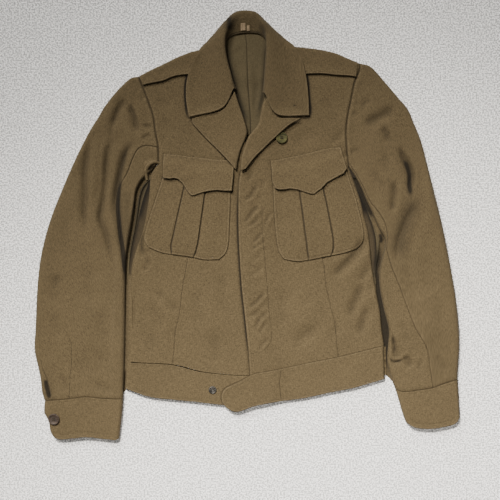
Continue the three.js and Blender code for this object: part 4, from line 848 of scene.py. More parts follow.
def cloth_material(name, pale, dark, heather=1.0):
    """Wool or cotton of threads between two colours; heather is how far the two stay apart."""
    material = bpy.data.materials.new(name)
    material.use_nodes = True
    tree = material.node_tree
    shader = tree.nodes["Principled BSDF"]
    uv = add(tree, "ShaderNodeUVMap", uv_map="Cloth")
    marks = {label: add(tree, "ShaderNodeAttribute", attribute_name=label).outputs["Fac"]
             for label in ("relief", "wear_and_highlight", "seam")}
    weave = add(tree, "ShaderNodeGroup", node_tree=SERGE_GROUP)
    for key, value in (("Pale Thread", pale), ("Dark Thread", dark), ("Heather", heather)):
        weave.inputs[key].default_value = value
    tree.links.new(uv.outputs[0], weave.inputs["Cloth"])
    tree.links.new(marks["relief"], weave.inputs["Relief"])
    tree.links.new(marks["wear_and_highlight"], weave.inputs["Wear And Highlight"])
    tree.links.new(marks["seam"], weave.inputs["Seam"])
    bump = add(tree, "ShaderNodeBump", {"Height": weave.outputs["Height"], "Distance": WEAVE_DEPTH,
                                        "Strength": 0.55})
    tree.links.new(weave.outputs["Colour"], shader.inputs["Base Color"])
    tree.links.new(weave.outputs["Roughness"], shader.inputs["Roughness"])
    tree.links.new(bump.outputs[0], shader.inputs["Normal"])
    shader.inputs["Sheen Weight"].default_value = SHEEN
    shader.inputs["Sheen Roughness"].default_value = 0.45
    shader.inputs["Sheen Tint"].default_value = SHEEN_TINT
    shader.inputs["Specular IOR Level"].default_value = 0.25
    return material


STREAKS = (90, 400, 90)  # lumps a metre, longest across the jacket
SCRATCHES = (1600, 500, 900)
SCRATCH_DEPTH = 0.0002


def hard_material(name, pale, dark, roughness, metallic=0.0):
    """Horn, cast plastic or plated metal: streaks between two colours, with fine scratches."""
    material = bpy.data.materials.new(name)
    material.use_nodes = True
    tree = material.node_tree
    shader = tree.nodes["Principled BSDF"]
    place = add(tree, "ShaderNodeTexCoord").outputs["Object"]
    streaks = ranged(tree, noise(tree, place, STREAKS, 3.0), 0.32, 0.7)
    scratches = noise(tree, place, SCRATCHES, 3.0)
    tree.links.new(blended(tree, streaks, dark, pale), shader.inputs["Base Color"])
    uneven_gloss = ranged(tree, scratches, 0.3, 0.7, roughness - 0.1, roughness + 0.14)
    tree.links.new(uneven_gloss, shader.inputs["Roughness"])
    bump = add(tree, "ShaderNodeBump", {"Height": scratches, "Distance": SCRATCH_DEPTH, "Strength": 0.4})
    tree.links.new(bump.outputs[0], shader.inputs["Normal"])
    shader.inputs["Metallic"].default_value = metallic
    shader.inputs["Specular IOR Level"].default_value = 0.3
    return material


SERGE_GROUP = serge_group()
SERGE = cloth_material("serge", (0.116, 0.083, 0.040, 1), (0.043, 0.030, 0.013, 1))
SERGE_INSIDE = cloth_material("serge_inside", (0.096, 0.073, 0.036, 1), (0.048, 0.036, 0.017, 1), 0.8)
# Lining of the underarm panels, darker than the serge partly by painted shade
SHADED_UNDERARM_LINING = cloth_material("shaded_underarm_lining", (0.062, 0.044, 0.022, 1), (0.024, 0.017, 0.008, 1), 0.6)
# Cloth coloured as a painted shadow, for a place that is only in shade
SHADOW_CLOTH = cloth_material("shadow_cloth", (0.026, 0.019, 0.010, 1), (0.010, 0.007, 0.004, 1), 0.6)
LABEL_COTTON = cloth_material("label_cotton", (0.36, 0.26, 0.15, 1), (0.16, 0.115, 0.068, 1), 0.7)
THREAD = cloth_material("sewing_thread", (0.10, 0.072, 0.036, 1), (0.05, 0.036, 0.018, 1), 0.4)
HORN = hard_material("horn", (0.060, 0.040, 0.026, 1), (0.020, 0.013, 0.009, 1), 0.62)
GREEN = hard_material("green_button", (0.080, 0.072, 0.020, 1), (0.022, 0.021, 0.007, 1), 0.8)
STEEL = hard_material("blackened_steel", (0.11, 0.10, 0.085, 1), (0.03, 0.026, 0.022, 1), 0.5, 0.85)
# Painted shadow for the insides of the buttons' holes
HOLE_SHADOW = hard_material("hole_shadow", (0.012, 0.01, 0.008, 1), (0.004, 0.003, 0.003, 1), 0.7)

front_folds = placed_folds(FRONT_FOLDS, 1.3) + placed_folds(FRONT_CREASES, 1.7)
sleeve_folds = placed_folds(SLEEVE_FOLDS, 1.35) + placed_folds(SLEEVE_CREASES, 1.5)
back_folds = placed_folds(BACK_CREASES)
darts = placed_folds(DARTS)
sleeve_seams = placed_folds(SLEEVE_SEAMS)
sleeve_hollows, front_hollows, neck_hollows, side_hollows, valley_hollows, collar_hollows = (
    [hollow._replace(line=Line(hollow.line)) for hollow in table]
    for table in (SLEEVE_HOLLOWS, FRONT_HOLLOWS, NECK_HOLLOWS, SIDE_HOLLOWS, VALLEY_HOLLOWS, COLLAR_HOLLOWS))

TUBE_STEPS = 1 - np.cos(np.linspace(0, math.pi / 2, 7))  # round an edge, as shares of its radius
SPLIT_X = across_table(239)  # between what lies on the right front and what lies on the left one
ON_FLY, CLEAR_OF_FLY = across_table(262), across_table(283)  # the left front sinks from the fly to the body


def fly_lift(p):
    return FLY_LIFT * (1 - smoothstep(p[..., 0], ON_FLY, CLEAR_OF_FLY))


def body_height(p):
    """Upper face of the fronts, without the round of their free edges."""
    return BODY_HEIGHT + SIDE_GAP + folded(front_folds, p) + 0.8 * slack(p, 3)


def on_body(p):
    return body_height(p) + np.where(p[..., 0] > SPLIT_X, fly_lift(p), 0)


# Edges of the cloth that lies on the fronts, and the width of the painted shadow line under each
UNDER_EDGES = [("pocketOut", 1.1), ("pocketIn", 1.1), ("pocketLow", 1.3), ("flapTop", 0.9), ("flapLow", 2.0),
               ("flapIn", 1.2), ("flapOut", 1.2), ("lapelEdge", 1.8), ("strapLow", 2.2)]


WAIST_SINK = {"right": 0.2, "left": 0.4}  # how far each front sinks towards the waistband
WAIST_REACH = 7  # and over what distance


def inset(name, distance, first=0.0, last=1.0):
    """A named outline moved to its left, between two shares of its length."""
    moved = line[name].moved(distance)
    return Line(moved.at(np.linspace(first, last, 90)), straight=True, placed=True)


def front_height(p, side, free):
    """Height of a front's upper face, with its seams and the marks of what lies on it."""
    left, key = side == "left", side.capitalize()
    rounded = quarter_round(nearest(p, free), HALF_BODY)
    rise = body_height(p) - BODY_HEIGHT - SIDE_GAP + (fly_lift(p) if left else 0)
    z = HALF_BODY + SIDE_GAP + rounded + rise * rounded / HALF_BODY
    armhole = line["armhole" + key].distance(p)
    z += groove(armhole, 1.7, 1.5) - groove(armhole - 4.6, 2.2, 0.45)
    from_waist = line["waistLeft" if left else "waistFrontRight"].distance(p)
    z += folded(darts, p) - WAIST_SINK[side] * np.exp(-((from_waist / WAIST_REACH) ** 2))
    for name, width in UNDER_EDGES:
        z += groove(line[name + key].distance(p), 1.4 * width, 0.6)
    from_fly = line["neckEdgeLeft"].distance(p)
    if left:
        z += nose(from_fly) + groove(from_fly - 4, 0.9, 0.35)
        z += groove(fly_stitching.distance(p), 1.1, 0.45)
    else:
        z += groove(from_fly + 0.4, 3.2, 1.1)
    return z


def front_marks(side):
    """The seams and painted shadow lines that are drawn on a front, with their widths, and its hollows of
    painted shade.
    """
    key = side.capitalize()
    seams = [(fold.line, 1.0) for fold in darts] + [(line["armhole" + key], 1.5)]
    seams += [(line[name + key], width) for name, width in UNDER_EDGES] + [(leaf_edges[side], 2.2)]
    dark = front_hollows + [Hollow(leaf_edges[side], 3.0, 1.1)]
    if side == "left":
        return seams + [(fly_stitching, 0.7), (band_top_left.moved(0.3), 1.1)], dark
    # Painted shadow on the right front along the fly's edge, where the left front lies on it
    along_fly = inset("neckEdgeLeft", -1.2, 0.42, 0.99)
    return seams + [(line["neckEdgeLeft"], 2.2)], dark + [Hollow(along_fly, 2.6, 1.0)]


def fronts():
    fly = line["neckEdgeLeft"]
    sides = {"right": line["sideSeamRight"], "left": line["bodyEdgeLeft"]}
    arms = {side: joined(line["armhole" + side.capitalize()], edge) for side, edge in sides.items()}
    shapes = {"right": patch(line["shoulderRight"], line["waistFrontRight"], arms["right"],
                             line["neckEdgeRight"]),
              "left": patch(line["shoulderLeft"], line["waistLeft"], fly, arms["left"])}
    width = line["waistFrontRight"].length * 0.85
    across = {"right": shares(width, MEDIUM, first=TUBE_STEPS * HALF_BODY),
              "left": shares(width, MEDIUM, first=EDGE_STEPS, last=TUBE_STEPS * HALF_BODY)}
    for side in ("right", "left"):
        key = side.capitalize()
        p, _, _ = spread(shapes[side], across[side], turning(arms[side], LONG))
        face = raised(p, front_height(p, side, [line["shoulder" + key], sides[side]]))
        hidden = lined(face, CLOTH)
        hidden[..., 2] = np.maximum(hidden[..., 2], HALF_BODY + SIDE_GAP)
        wear_and_highlight = 0.5 * edge_wear_and_highlight(line["armhole" + key].distance(p) - 1, 2.5)
        if side == "left":
            wear_and_highlight = np.maximum(wear_and_highlight, edge_wear_and_highlight(fly.distance(p)))
        seams, dark = front_marks(side)
        shell(f"front_{side}", face, hidden, SERGE, f"front_{side}", "serge", ["back_" + side], wear_and_highlight,
              seam=drawn(p, seams), hollows=dark)


LEAF_MIDDLE = np.array([0, (MIDDLE[1] - 40) * SQUARE])
LEAF_REACH = (34 * SQUARE, 50 * SQUARE)  # from its middle, where the back starts and ends its fall


def over_leaf(p):
    """Lift of the back over the collar's back leaf."""
    away = np.hypot((p[..., 0] - LEAF_MIDDLE[0]) * 0.62, p[..., 1] - LEAF_MIDDLE[1])
    return LEAF_ROOM * (1 - smoothstep(away, *LEAF_REACH))


BACK_ROWS = 101


def backs():
    low = HALF_BODY - SIDE_GAP
    centre = line["centreBack"]
    waist = {"right": Line("126.8 360, 170 363.5, 200.4 370.6, 250 375"),
             "left": Line("250 375, 308.4 363.2, 384 346")}
    edges = {"right": line["bodyEdgeRight"], "left": line["backEdgeLeft"]}
    arms = {side: joined(line["armhole" + side.capitalize()], edge) for side, edge in edges.items()}
    tops = {"right": joined(line["shoulderRight"], line["neckBackRight"]),
            "left": joined(line["neckBackLeft"], line["shoulderLeft"])}
    shapes = {"right": patch(tops["right"], waist["right"], arms["right"], centre),
              "left": patch(tops["left"], waist["left"], centre, arms["left"])}
    width = line["waistBack"].length / 2
    across = {"right": shares(width, MEDIUM, first=TUBE_STEPS * HALF_BODY),
              "left": shares(width, MEDIUM, last=TUBE_STEPS * HALF_BODY)}
    seam = Line(CENTRE_BACK_SEAM)
    for side in ("right", "left"):
        free = [line["shoulder" + side.capitalize()], edges[side]]
        down = np.linspace(0, 1, BACK_ROWS) ** 1.35  # closer together at the neck
        turn = arms[side].turn
        down[np.abs(down - turn).argmin()] = turn
        p, _, _ = spread(shapes[side], across[side], down)
        rounded = quarter_round(nearest(p, free), HALF_BODY)
        lift = over_leaf(p)
        face = raised(p, (low - lift) * (1 - rounded / HALF_BODY) + lift)
        upper = lined(face, -CLOTH)
        upper[..., 2] = np.minimum(upper[..., 2], np.maximum(low, np.minimum(lift + CLOTH, HALF_BODY)))
        inner = rounded / HALF_BODY
        detail = folded(back_folds, p) + 0.5 * slack(p, 31) + groove(seam.distance(p), 0.9, 0.9)
        upper[..., 2] = np.maximum(upper[..., 2] + detail * inner, face[..., 2] + 0.5)
        shell(f"back_{side}", upper, face, SERGE_INSIDE, f"back_{side}", "serge_inside", ["floor"],
              seam=drawn(p, [(seam, 1.3)]), hollows=neck_hollows + side_hollows)


# Heights of a sleeve at shares of its length
SLEEVE_ALONG = (0, 0.16, 0.45, 0.75, 1)
SLEEVE_HEIGHTS = (BODY_HEIGHT + 0.5, 13.5, SLEEVE_HEIGHT + 1.5, SLEEVE_HEIGHT, CUFF_HEIGHT + 0.6)


def profile(v, along, heights):
    """Heights along a tube, each blending smoothly into the next."""
    height = np.full_like(v, heights[0], dtype=float)
    for k in range(1, len(along)):
        height += (heights[k] - heights[k - 1]) * smoothstep(v, along[k - 1], along[k])
    return height


SEAM_TRIES = 121  # places across a sleeve at which its fore seam is looked for
SEAM_ROWS = 9  # rows over which the seam is then smoothed


def seam_shares(shape, v, seam, edge):
    """Share of the width at which the fore seam crosses each row, smoothed along the sleeve."""
    tries = np.linspace(0, 1, SEAM_TRIES)[None, :]
    low, high = edge * 1.3, 1 - edge * 1.2
    u = low[:, None] + (high - low)[:, None] * tries
    away = seam.distance(shape(u, np.repeat(v[:, None], SEAM_TRIES, 1)))
    found = np.take_along_axis(u, away.argmin(1)[:, None], 1)[:, 0]
    padded = np.pad(found, SEAM_ROWS // 2, mode="edge")
    return np.convolve(padded, np.ones(SEAM_ROWS) / SEAM_ROWS, "valid")


UNDER_SPARSER = 2.2  # how much further apart the stations of a tube are underneath


def tube(shape, v, height, step, seam=None):
    """A flattened tube: stations run over the upper face from its outer edge, and back underneath.

    Returns the points on the table, the shares down, the face that each station is on (1 above, -1
    below), the rounding from 0 at an edge to 1, the distance to the fore seam and its station."""
    width = np.linalg.norm(shape(np.zeros_like(v), v) - shape(np.ones_like(v), v), axis=1)
    radius = height / 2
    edge = radius / width
    parting = seam_shares(shape, v, seam, edge) if seam else np.full_like(v, 0.7)
    mean = width.mean()
    upper_count, narrow_count, under_count = (
        max(4, round(length / step)) for length in (mean * 0.7, mean * 0.28, mean / UNDER_SPARSER))
    rows = []
    for e, s in zip(edge, parting):
        near = TUBE_STEPS * e
        upper = np.concatenate([near, np.linspace(e, s, upper_count)[1:],
                                np.linspace(s, 1 - e, narrow_count)[1:], 1 - near[::-1][1:]])
        under = np.concatenate([1 - near[1:], np.linspace(1 - e, e, under_count)[1:], near[::-1][1:]])
        rows.append((upper, under))
    u = np.array([np.concatenate(row) for row in rows])
    side = np.where(np.arange(u.shape[1]) < len(rows[0][0]), 1, -1)[None, :] + np.zeros_like(u)
    spread_v = np.repeat(v[:, None], u.shape[1], 1)
    p = shape(u, spread_v)
    from_edge = np.minimum(u, 1 - u) * width[:, None]
    rounding = quarter_round(from_edge, radius[:, None]) / radius[:, None]
    from_seam = (u - parting[:, None]) * width[:, None]
    return p, spread_v, side, rounding, from_seam, len(TUBE_STEPS) + upper_count - 2


# Shares of a sleeve's length between which its fore seam turns under; the left one's never does
SEAM_LOST = {"right": (0.34, 0.42), "left": (2.0, 3.0)}
SEAM_FAINT = {"right": 0.5, "left": 0.95}  # how far the drawn seam is from fully dark


def sleeves():
    for key, outwards in (("Right", -1), ("Left", 1)):
        side = key.lower()
        armhole = line["armhole" + key].moved(0.12 * outwards)
        wrist = line["cuffSeam" + key]
        outer = line["sleeveOuter" + key].between(armhole.at(0), wrist.at(0))
        inner = line["sleeveInner" + key].between(armhole.at(1), wrist.at(1))
        shape = patch(armhole, wrist, outer, inner)
        v = shares(outer.length, LONG, first=EDGE_STEPS, last=EDGE_STEPS)
        height = profile(v, SLEEVE_ALONG, SLEEVE_HEIGHTS)
        p, down, facing, rounding, from_seam, seam = tube(shape, v, height, MEDIUM, line["foreSeam" + key])
        shows = 1 - smoothstep(down, *SEAM_LOST[side])
        radius = height[:, None] / 2
        from_armhole = armhole.distance(p)
        rise = folded(sleeve_folds, p) + folded(sleeve_seams, p) + slack(p, 17 if key == "Left" else 23)
        rise += groove(from_armhole, 1.7, 1.5) - groove(from_armhole - 4.2, 2.4, 0.7)
        rise += groove(wrist.distance(p), 2.4, 1.0)
        z = radius + facing * radius * rounding + np.where(facing > 0, rise * rounding, 0)
        seam_dip = groove(from_seam, 1.2, 0.9) - groove(from_seam + 3, 1.8, 0.35)
        z += np.where(facing > 0, seam_dip * rounding * shows, 0)
        seams = [(fold.line, 1.0) for fold in sleeve_seams] + [(armhole, 1.5), (wrist, 1.4)]
        marked = drawn(p, seams)
        from_seam = np.where(from_seam < 0, -1, 1) * np.hypot(from_seam, SEAM_FAINT[side]) + FAR * (1 - shows)
        marked = np.where((np.abs(from_seam) < np.abs(marked)) & (shows > 0.3), from_seam, marked)
        marked = np.where(facing > 0, marked, FAR)
        face = raised(p, np.maximum(z, 0))
        ring = face[:, :-1]
        lining = lined(ring, CLOTH, ring=True)
        lining = np.concatenate([lining, lining[:, :1]], 1)
        wear_and_highlight = 0.5 * edge_wear_and_highlight(from_seam + 3.2, 1.8) + 0.4 * edge_wear_and_highlight(from_armhole - 2, 2.5)
        for name, stations in ((f"sleeve_upper_{side}", slice(0, seam + 1)),
                               (f"sleeve_under_{side}", slice(seam, None))):
            shell(name, face[:, stations], lining[:, stations], SERGE, name, "serge", ["floor"],
                  wear_and_highlight[:, stations], seam=marked[:, stations], hollows=sleeve_hollows)


def cuffs():
    for key, outwards in (("Right", -1), ("Left", 1)):
        side = key.lower()
        top = line["cuffSeam" + key].moved(0.15 * outwards)
        hem = line["cuffHem" + key]
        outer = line["cuffOuter" + key].between(top.at(0), hem.at(0))
        inner = line["cuffInner" + key].between(top.at(1), hem.at(1))
        v = shares(outer.length, FINE, first=EDGE_STEPS, last=EDGE_STEPS)
        height = profile(v, (0, 1), (CUFF_HEIGHT + 0.9, CUFF_HEIGHT + 0.3))
        p, _, facing, rounding, _, _ = tube(patch(top, hem, outer, inner), v, height, MEDIUM)
        radius = height[:, None] / 2
        from_hem, from_top = hem.distance(p), top.distance(p)
        rise = 0.5 * slack(p, 41 if key == "Left" else 47) + groove(from_hem - 8.5, 1.1, 0.5)
        rise += groove(from_top - 3.4, 0.9, 0.3)
        z = radius + facing * radius * rounding + np.where(facing > 0, rise * rounding, 0)
        face = raised(p, np.maximum(z, 0))[:, :-1]
        inwards = nose(from_hem, BAND_CLOTH)[:, :-1] * 0.7 + nose(from_top, BAND_CLOTH)[:, :-1] * 0.45
        n = normals_of(face, ring=True)
        n *= 1 if n[len(v) // 2, face.shape[1] // 4, 2] > 0 else -1
        lining = face - n * BAND_CLOTH
        face = face + n * inwards[..., None]
        face[..., 2] = np.maximum(face[..., 2], 0)
        wear_and_highlight = edge_wear_and_highlight(from_hem)[:, :-1]
        shell(f"cuff_{side}", face, lining, SERGE, f"cuff_{side}", "serge", ["floor"], wear_and_highlight, ring=True)


def beside(values, places, offsets):
    """Shares with more of them close to given places, where the cloth is folded."""
    extra = [place + offset for place in places for offset in offsets]
    return np.unique(np.round(np.concatenate([values, extra]), 5))


def overlay(name, shape, across, down, rise, free, rests_on, stitch_inset, down_to_front, seams=()):
    """Cloth that lies on a front, with turned edges and stitching along its free sides."""
    p, u, v = spread(shape, across, down)
    distance = nearest(p, free)
    base = on_body(p) + REST
    top = base + CLOTH + rise(p, u, v)
    z = top + nose(distance)
    z += groove(distance - stitch_inset, 0.9, 0.42)
    low = base if down_to_front else top - CLOTH
    face, lining = raised(p, z), raised(p, np.minimum(low, z - 0.2))
    shell(name, face, lining, SERGE, name, "serge", rests_on, edge_wear_and_highlight(distance), seam=drawn(p, seams))


FLAP_SPRING = 1.8  # how far a flap's lower edge stands up
BUTTON_UNDER_FLAP = {"right": (187.5, 176), "left": (316, 180)}
# How far in from the edge each is stitched
POCKET_STITCHING = 4.0
FLAP_STITCHING = 3.2


def pockets():
    pocket_shapes = {
        "right": patch(*(line[f"pocket{edge}Right"] for edge in ("Top", "Low", "Out", "In"))),
        "left": patch(*(line[f"pocket{edge}Left"] for edge in ("Top", "Low", "In", "Out")))}
    flap_shapes = {
        "right": patch(*(line[f"flap{edge}Right"] for edge in ("Top", "Low", "Out", "In"))),
        "left": patch(*(line[f"flap{edge}Left"] for edge in ("Top", "Low", "In", "Out")))}
    width, depth = line["pocketTopRight"].length, line["pocketInRight"].length
    flap_width, flap_depth = line["flapTopRight"].length, line["flapInRight"].length
    fold_offsets = [d / width for d in (-2.2, -1.3, -0.7, -0.2, 0.2, 0.7, 1.3)]
    across = beside(shares(width, FINE, EDGE_STEPS, EDGE_STEPS), PLEAT, fold_offsets)
    down = shares(depth, FINE, last=EDGE_STEPS)
    for side in ("right", "left"):
        key = side.capitalize()
        edges = [line[f"pocket{edge}{key}"] for edge in ("Low", "Out", "In")]

        def pleated(p, u, v):
            inside = nearest(p, edges)
            first, last = ((u - place) * width for place in PLEAT)
            panel = smoothstep(first, -0.6, 0.5) * (1 - smoothstep(last, -0.5, 0.6))
            folds = groove(first + 0.9, 1.0, 1.5) + groove(last - 0.9, 1.0, 1.5)
            puff = 1.3 * smoothstep(inside, 5, 30) + 0.4 * uneven(p, 17, 61)
            return puff + (PLEAT_RISE * panel + folds) * (0.35 + 0.65 * smoothstep(inside, 0, 8))

        rows = np.linspace(0, 1, 30)
        pleats = [pocket_shapes[side](np.full(30, place + shift / width), rows)
                  for place, shift in zip(PLEAT, (-0.9, 0.9))]
        # Painted shade along the pleats' folds, and a painted shadow line under the flap's lower edge
        drawn_lines = [(Line(pleat, straight=True, placed=True), 1.4) for pleat in pleats]
        drawn_lines.append((line["flapLow" + key], 2.0))
        overlay(f"pocket_{side}", pocket_shapes[side], across, down, pleated, edges, [f"front_{side}"],
                POCKET_STITCHING, True, drawn_lines)
        flap_edges = [line[f"flap{edge}{key}"] for edge in ("Top", "Low", "Out", "In")]
        button = on_table([BUTTON_UNDER_FLAP[side]])[0]

        def lifted(p, u, v):
            from_button = np.linalg.norm(p - button, axis=-1)
            over_pocket = (REST + CLOTH + PLEAT_RISE + 1.2) * smoothstep(v, 0, 0.45)
            over_pocket = over_pocket + FLAP_SPRING * v ** 3
            return over_pocket + 1.5 * np.exp(-((from_button / 9) ** 2)) + 0.5 * uneven(p, 23, 71) * v

        overlay(f"pocket_flap_{side}", flap_shapes[side], shares(flap_width, FINE, EDGE_STEPS, EDGE_STEPS),
                shares(flap_depth, FINE, EDGE_STEPS, EDGE_STEPS), lifted, flap_edges,
                [f"front_{side}", f"pocket_{side}"], FLAP_STITCHING, False)


LAPEL_SPRING = 1.2  # how far a lapel's free edge stands up


def lapels():
    low_ends = {"right": [(233.8, 168), (236.6, 170.5)], "left": [(240.6, 171), (246, 169.5)]}
    for side in ("right", "left"):
        key = side.capitalize()
        left = side == "left"
        roll, edge, gorge = line["lapelRoll" + key], line["lapelEdge" + key], line["gorge" + key]
        sides = (roll, edge) if left else (edge, roll)
        shape = patch(gorge, Line(low_ends[side]), *sides)
        rounds = {"first": TUBE_STEPS * ROLL_RADIUS, "last": EDGE_STEPS}
        across = shares(58, FINE, **rounds) if left else 1 - shares(58, FINE, **rounds)[::-1]
        p, _, v = spread(shape, across, shares(roll.length, FINE, first=EDGE_STEPS))
        away, from_edge, from_gorge = roll.distance(p), edge.distance(p), gorge.distance(p)
        sprung = LAPEL_RISE * np.exp(-((away / 34) ** 2)) + 2.2 * smoothstep(v, 0.6, 0.9)
        sprung += LAPEL_SPRING * np.exp(-((from_edge / 14) ** 2))
        lift = np.maximum(fly_lift(p), 3) + 0.8 if left else 0.5
        full = BODY_HEIGHT + SIDE_GAP + folded(front_folds, p) * 0.5 + lift + REST + CLOTH + sprung
        full += 0.7 * slack(p, 81)
        z = full - ROLL_RADIUS + quarter_round(away, ROLL_RADIUS)
        n_face = raised(p, z)
        lining = lined(n_face, CLOTH)
        z = z + nose(np.minimum(from_edge, from_gorge + 0.6)) + groove(from_edge - 3.2, 0.9, 0.35)
        z += groove(from_gorge - 3.4, 0.9, 0.25)
        shell(f"lapel_{side}", raised(p, z), lining, SERGE, f"lapel_{side}", "serge", [f"front_{side}"],
              edge_wear_and_highlight(np.minimum(from_edge, away)))


def collar_point(s, t):
    """A point of the collar: s runs round the neck, t from the foot of the stand to the leaf's edge."""
    rows = [*COLLAR_HALF, *COLLAR_OTHER_HALF]
    rails = [smooth_at(on_table([getattr(row, key) for row in rows]), s) for key in CollarRow._fields]
    return np.array([smooth_at(np.array([rail[i] for rail in rails]), t) for i in range(len(s))])


LEAF_SPRING = 2.6  # how far the leaf's free edge stands up
# Scraps on the inside of the stand: name, replaced node, two corners, height over the stand
SCRAPS = [
    ("neck_label", "neck_label", ((240.6, 24.8), (245.4, 31.0)), 0.7),
    ("hanger_loop", None, ((246.8, 26.2), (249.4, 31.8)), 0.9),
]


def collar():
    s = shares(620, FINE * 1.6, first=EDGE_STEPS, last=EDGE_STEPS)
    t = shares(110, FINE, first=EDGE_STEPS, last=EDGE_STEPS)
    face = collar_point(s, t)
    n = normals_of(face)
    n *= 1 if n[len(s) // 5, round(len(t) * 0.75), 2] > 0 else -1
    lining = face - n * CLOTH
    down, along = lengths_along(face, 1), lengths_along(face, 0)
    from_leaf, from_foot = down[:, -1:] - down, down
    from_gorge = np.minimum(along, along[-1:] - along)
    leaf = smoothstep(down / down[:, -1:], 0.34, 0.6)
    lifted = leaf * LEAF_SPRING * np.exp(-((np.minimum(from_leaf, from_gorge) / 10) ** 2))
    lifted *= smoothstep(face[..., 2], 9, 12)
    detail = nose(np.minimum(from_leaf, from_gorge)) + groove(from_leaf - 3.2, 0.9, 0.35)
    puckers = 0.55 * slack(face[..., :2], 91) + folded(collar_folds, face[..., :2])
    detail += groove(from_gorge - 3.2, 0.9, 0.3) + leaf * puckers
    detail += groove(from_foot - 1.5, 1.2, 0.4)
    face = face + n * (detail + lifted)[..., None]
    lining = lining + n * lifted[..., None]
    face[..., 2] = np.maximum(face[..., 2], 0)
    lining[..., 2] = np.maximum(lining[..., 2], 0)
    shell("collar", face, lining, SERGE, "collar", "serge", ["front_right", "front_left"],
          edge_wear_and_highlight(np.minimum(from_leaf, from_gorge)), seam=from_foot / 1.4 - 0.6, hollows=collar_hollows)
    for name, node, corners, lift in SCRAPS:
        span, depth = stand_shares(corners)
        scrap = collar_point(np.linspace(*span, 14), np.linspace(*depth, 12))
        m = normals_of(scrap)
        m *= 1 if m[5, 5, 1] < 0 else -1
        wave = 0.25 * np.sin(scrap[..., :1] * 2.1) + 0.2 * np.sin(scrap[..., 2:3] * 1.7)
        upper = scrap + m * (lift + 0.4 + wave)
        shell(name, upper, scrap + m * lift * 0.6, LABEL_COTTON, node, "label", ["collar"])


def stand_shares(corners):
    """Shares round the neck and up the stand between which a small scrap lies, from two of its corners."""
    round_neck, up_stand = np.linspace(0.38, 0.56, 91), np.linspace(0.005, 0.25, 50)
    stand = collar_point(round_neck, up_stand)[..., :2]
    found = []
    for corner in on_table(corners):
        nearest_point = np.linalg.norm(stand - corner, axis=-1).argmin()
        found.append((round_neck[nearest_point // 50], up_stand[nearest_point % 50]))
    (first, high), (last, low) = found
    return (first, last), (low, high)


COLLAR_CREASES = [
    Fold("278 48, 284 58, 287 72", 4, 0.7, 0.3),
    Fold("292 66, 294 84, 293 100", 9, -0.6),
    Fold("206 62, 203 80, 204 100", 9, -0.6),
    Fold("214 52, 211 66, 214 84", 6, 0.5),
]
collar_folds = placed_folds(COLLAR_CREASES)
fly_stitching = Line(FLY_STITCHING)
leaf_edges = {side: Line(points) for side, points in LEAF_EDGES.items()}


STRAP_SPRING = 2.4  # how far a strap's lower edge stands up
STRAPS = {"right": (0.03, 0.76), "left": (0.22, 0.97)}  # shares of the shoulder that each strap covers


def straps():
    for side, cut in STRAPS.items():
        key = side.capitalize()
        shoulder, low = line["shoulder" + key], line["strapLow" + key]
        top = Line(shoulder.at(np.linspace(*cut, 40)) + np.array([0, -0.4]), straight=True, placed=True)
        left_end = Line([top.at(0), low.at(0)], straight=True, placed=True)
        right_end = Line([top.at(1), low.at(1)], straight=True, placed=True)
        p, _, _ = spread(patch(top, low, left_end, right_end),
                         shares(top.length, FINE * 1.4, EDGE_STEPS, EDGE_STEPS),
                         shares(34, FINE, first=TUBE_STEPS * HALF_BODY, last=EDGE_STEPS))
        rounded = quarter_round(shoulder.distance(p), HALF_BODY) / HALF_BODY
        ground = HALF_BODY + SIDE_GAP + rounded * (body_height(p) - HALF_BODY - SIDE_GAP)
        from_edge = low.distance(p)
        top_face = ground + REST + CLOTH + 0.35 * (1 + uneven(p, 26, 101))
        top_face = top_face + STRAP_SPRING * np.exp(-((from_edge / 9) ** 2))
        z = top_face + nose(from_edge) + groove(from_edge - 3.2, 0.9, 0.4)
        lining = raised(p, np.minimum(np.maximum(ground + REST, top_face - CLOTH), z - 0.2))
        shell(f"shoulder_strap_{side}", raised(p, z), lining, SERGE, f"shoulder_strap_{side}", "serge",
              [f"front_{side}"], edge_wear_and_highlight(from_edge))


TAB_FLAT = across_table(266), across_table(288)  # the tab sinks from the fly to the rest of the band
TAB_SPRING = 1.0  # how far the end of the waistband's tab stands up
BAND_LAP = 2.2  # how far the waistband laps over the fronts
LAP_STARTS = across_table(238), across_table(256)  # right of the tab's free end
lapping = smoothstep(line["tabTop"].points[:, :1], *LAP_STARTS)
lapped = line["tabTop"].moved(BAND_LAP + 1.0).points
band_top_left = Line(line["tabTop"].points * (1 - lapping) + lapped * lapping, straight=True, placed=True)
# The seam before the tab, and the tab's edge, whose painted shadow line falls on the right band
tab_seam = Line("280.8 371, 279.5 384, 281 397")
tab_top = Line("231 384, 238 381.2, 250.2 375.6, 262 373.4")


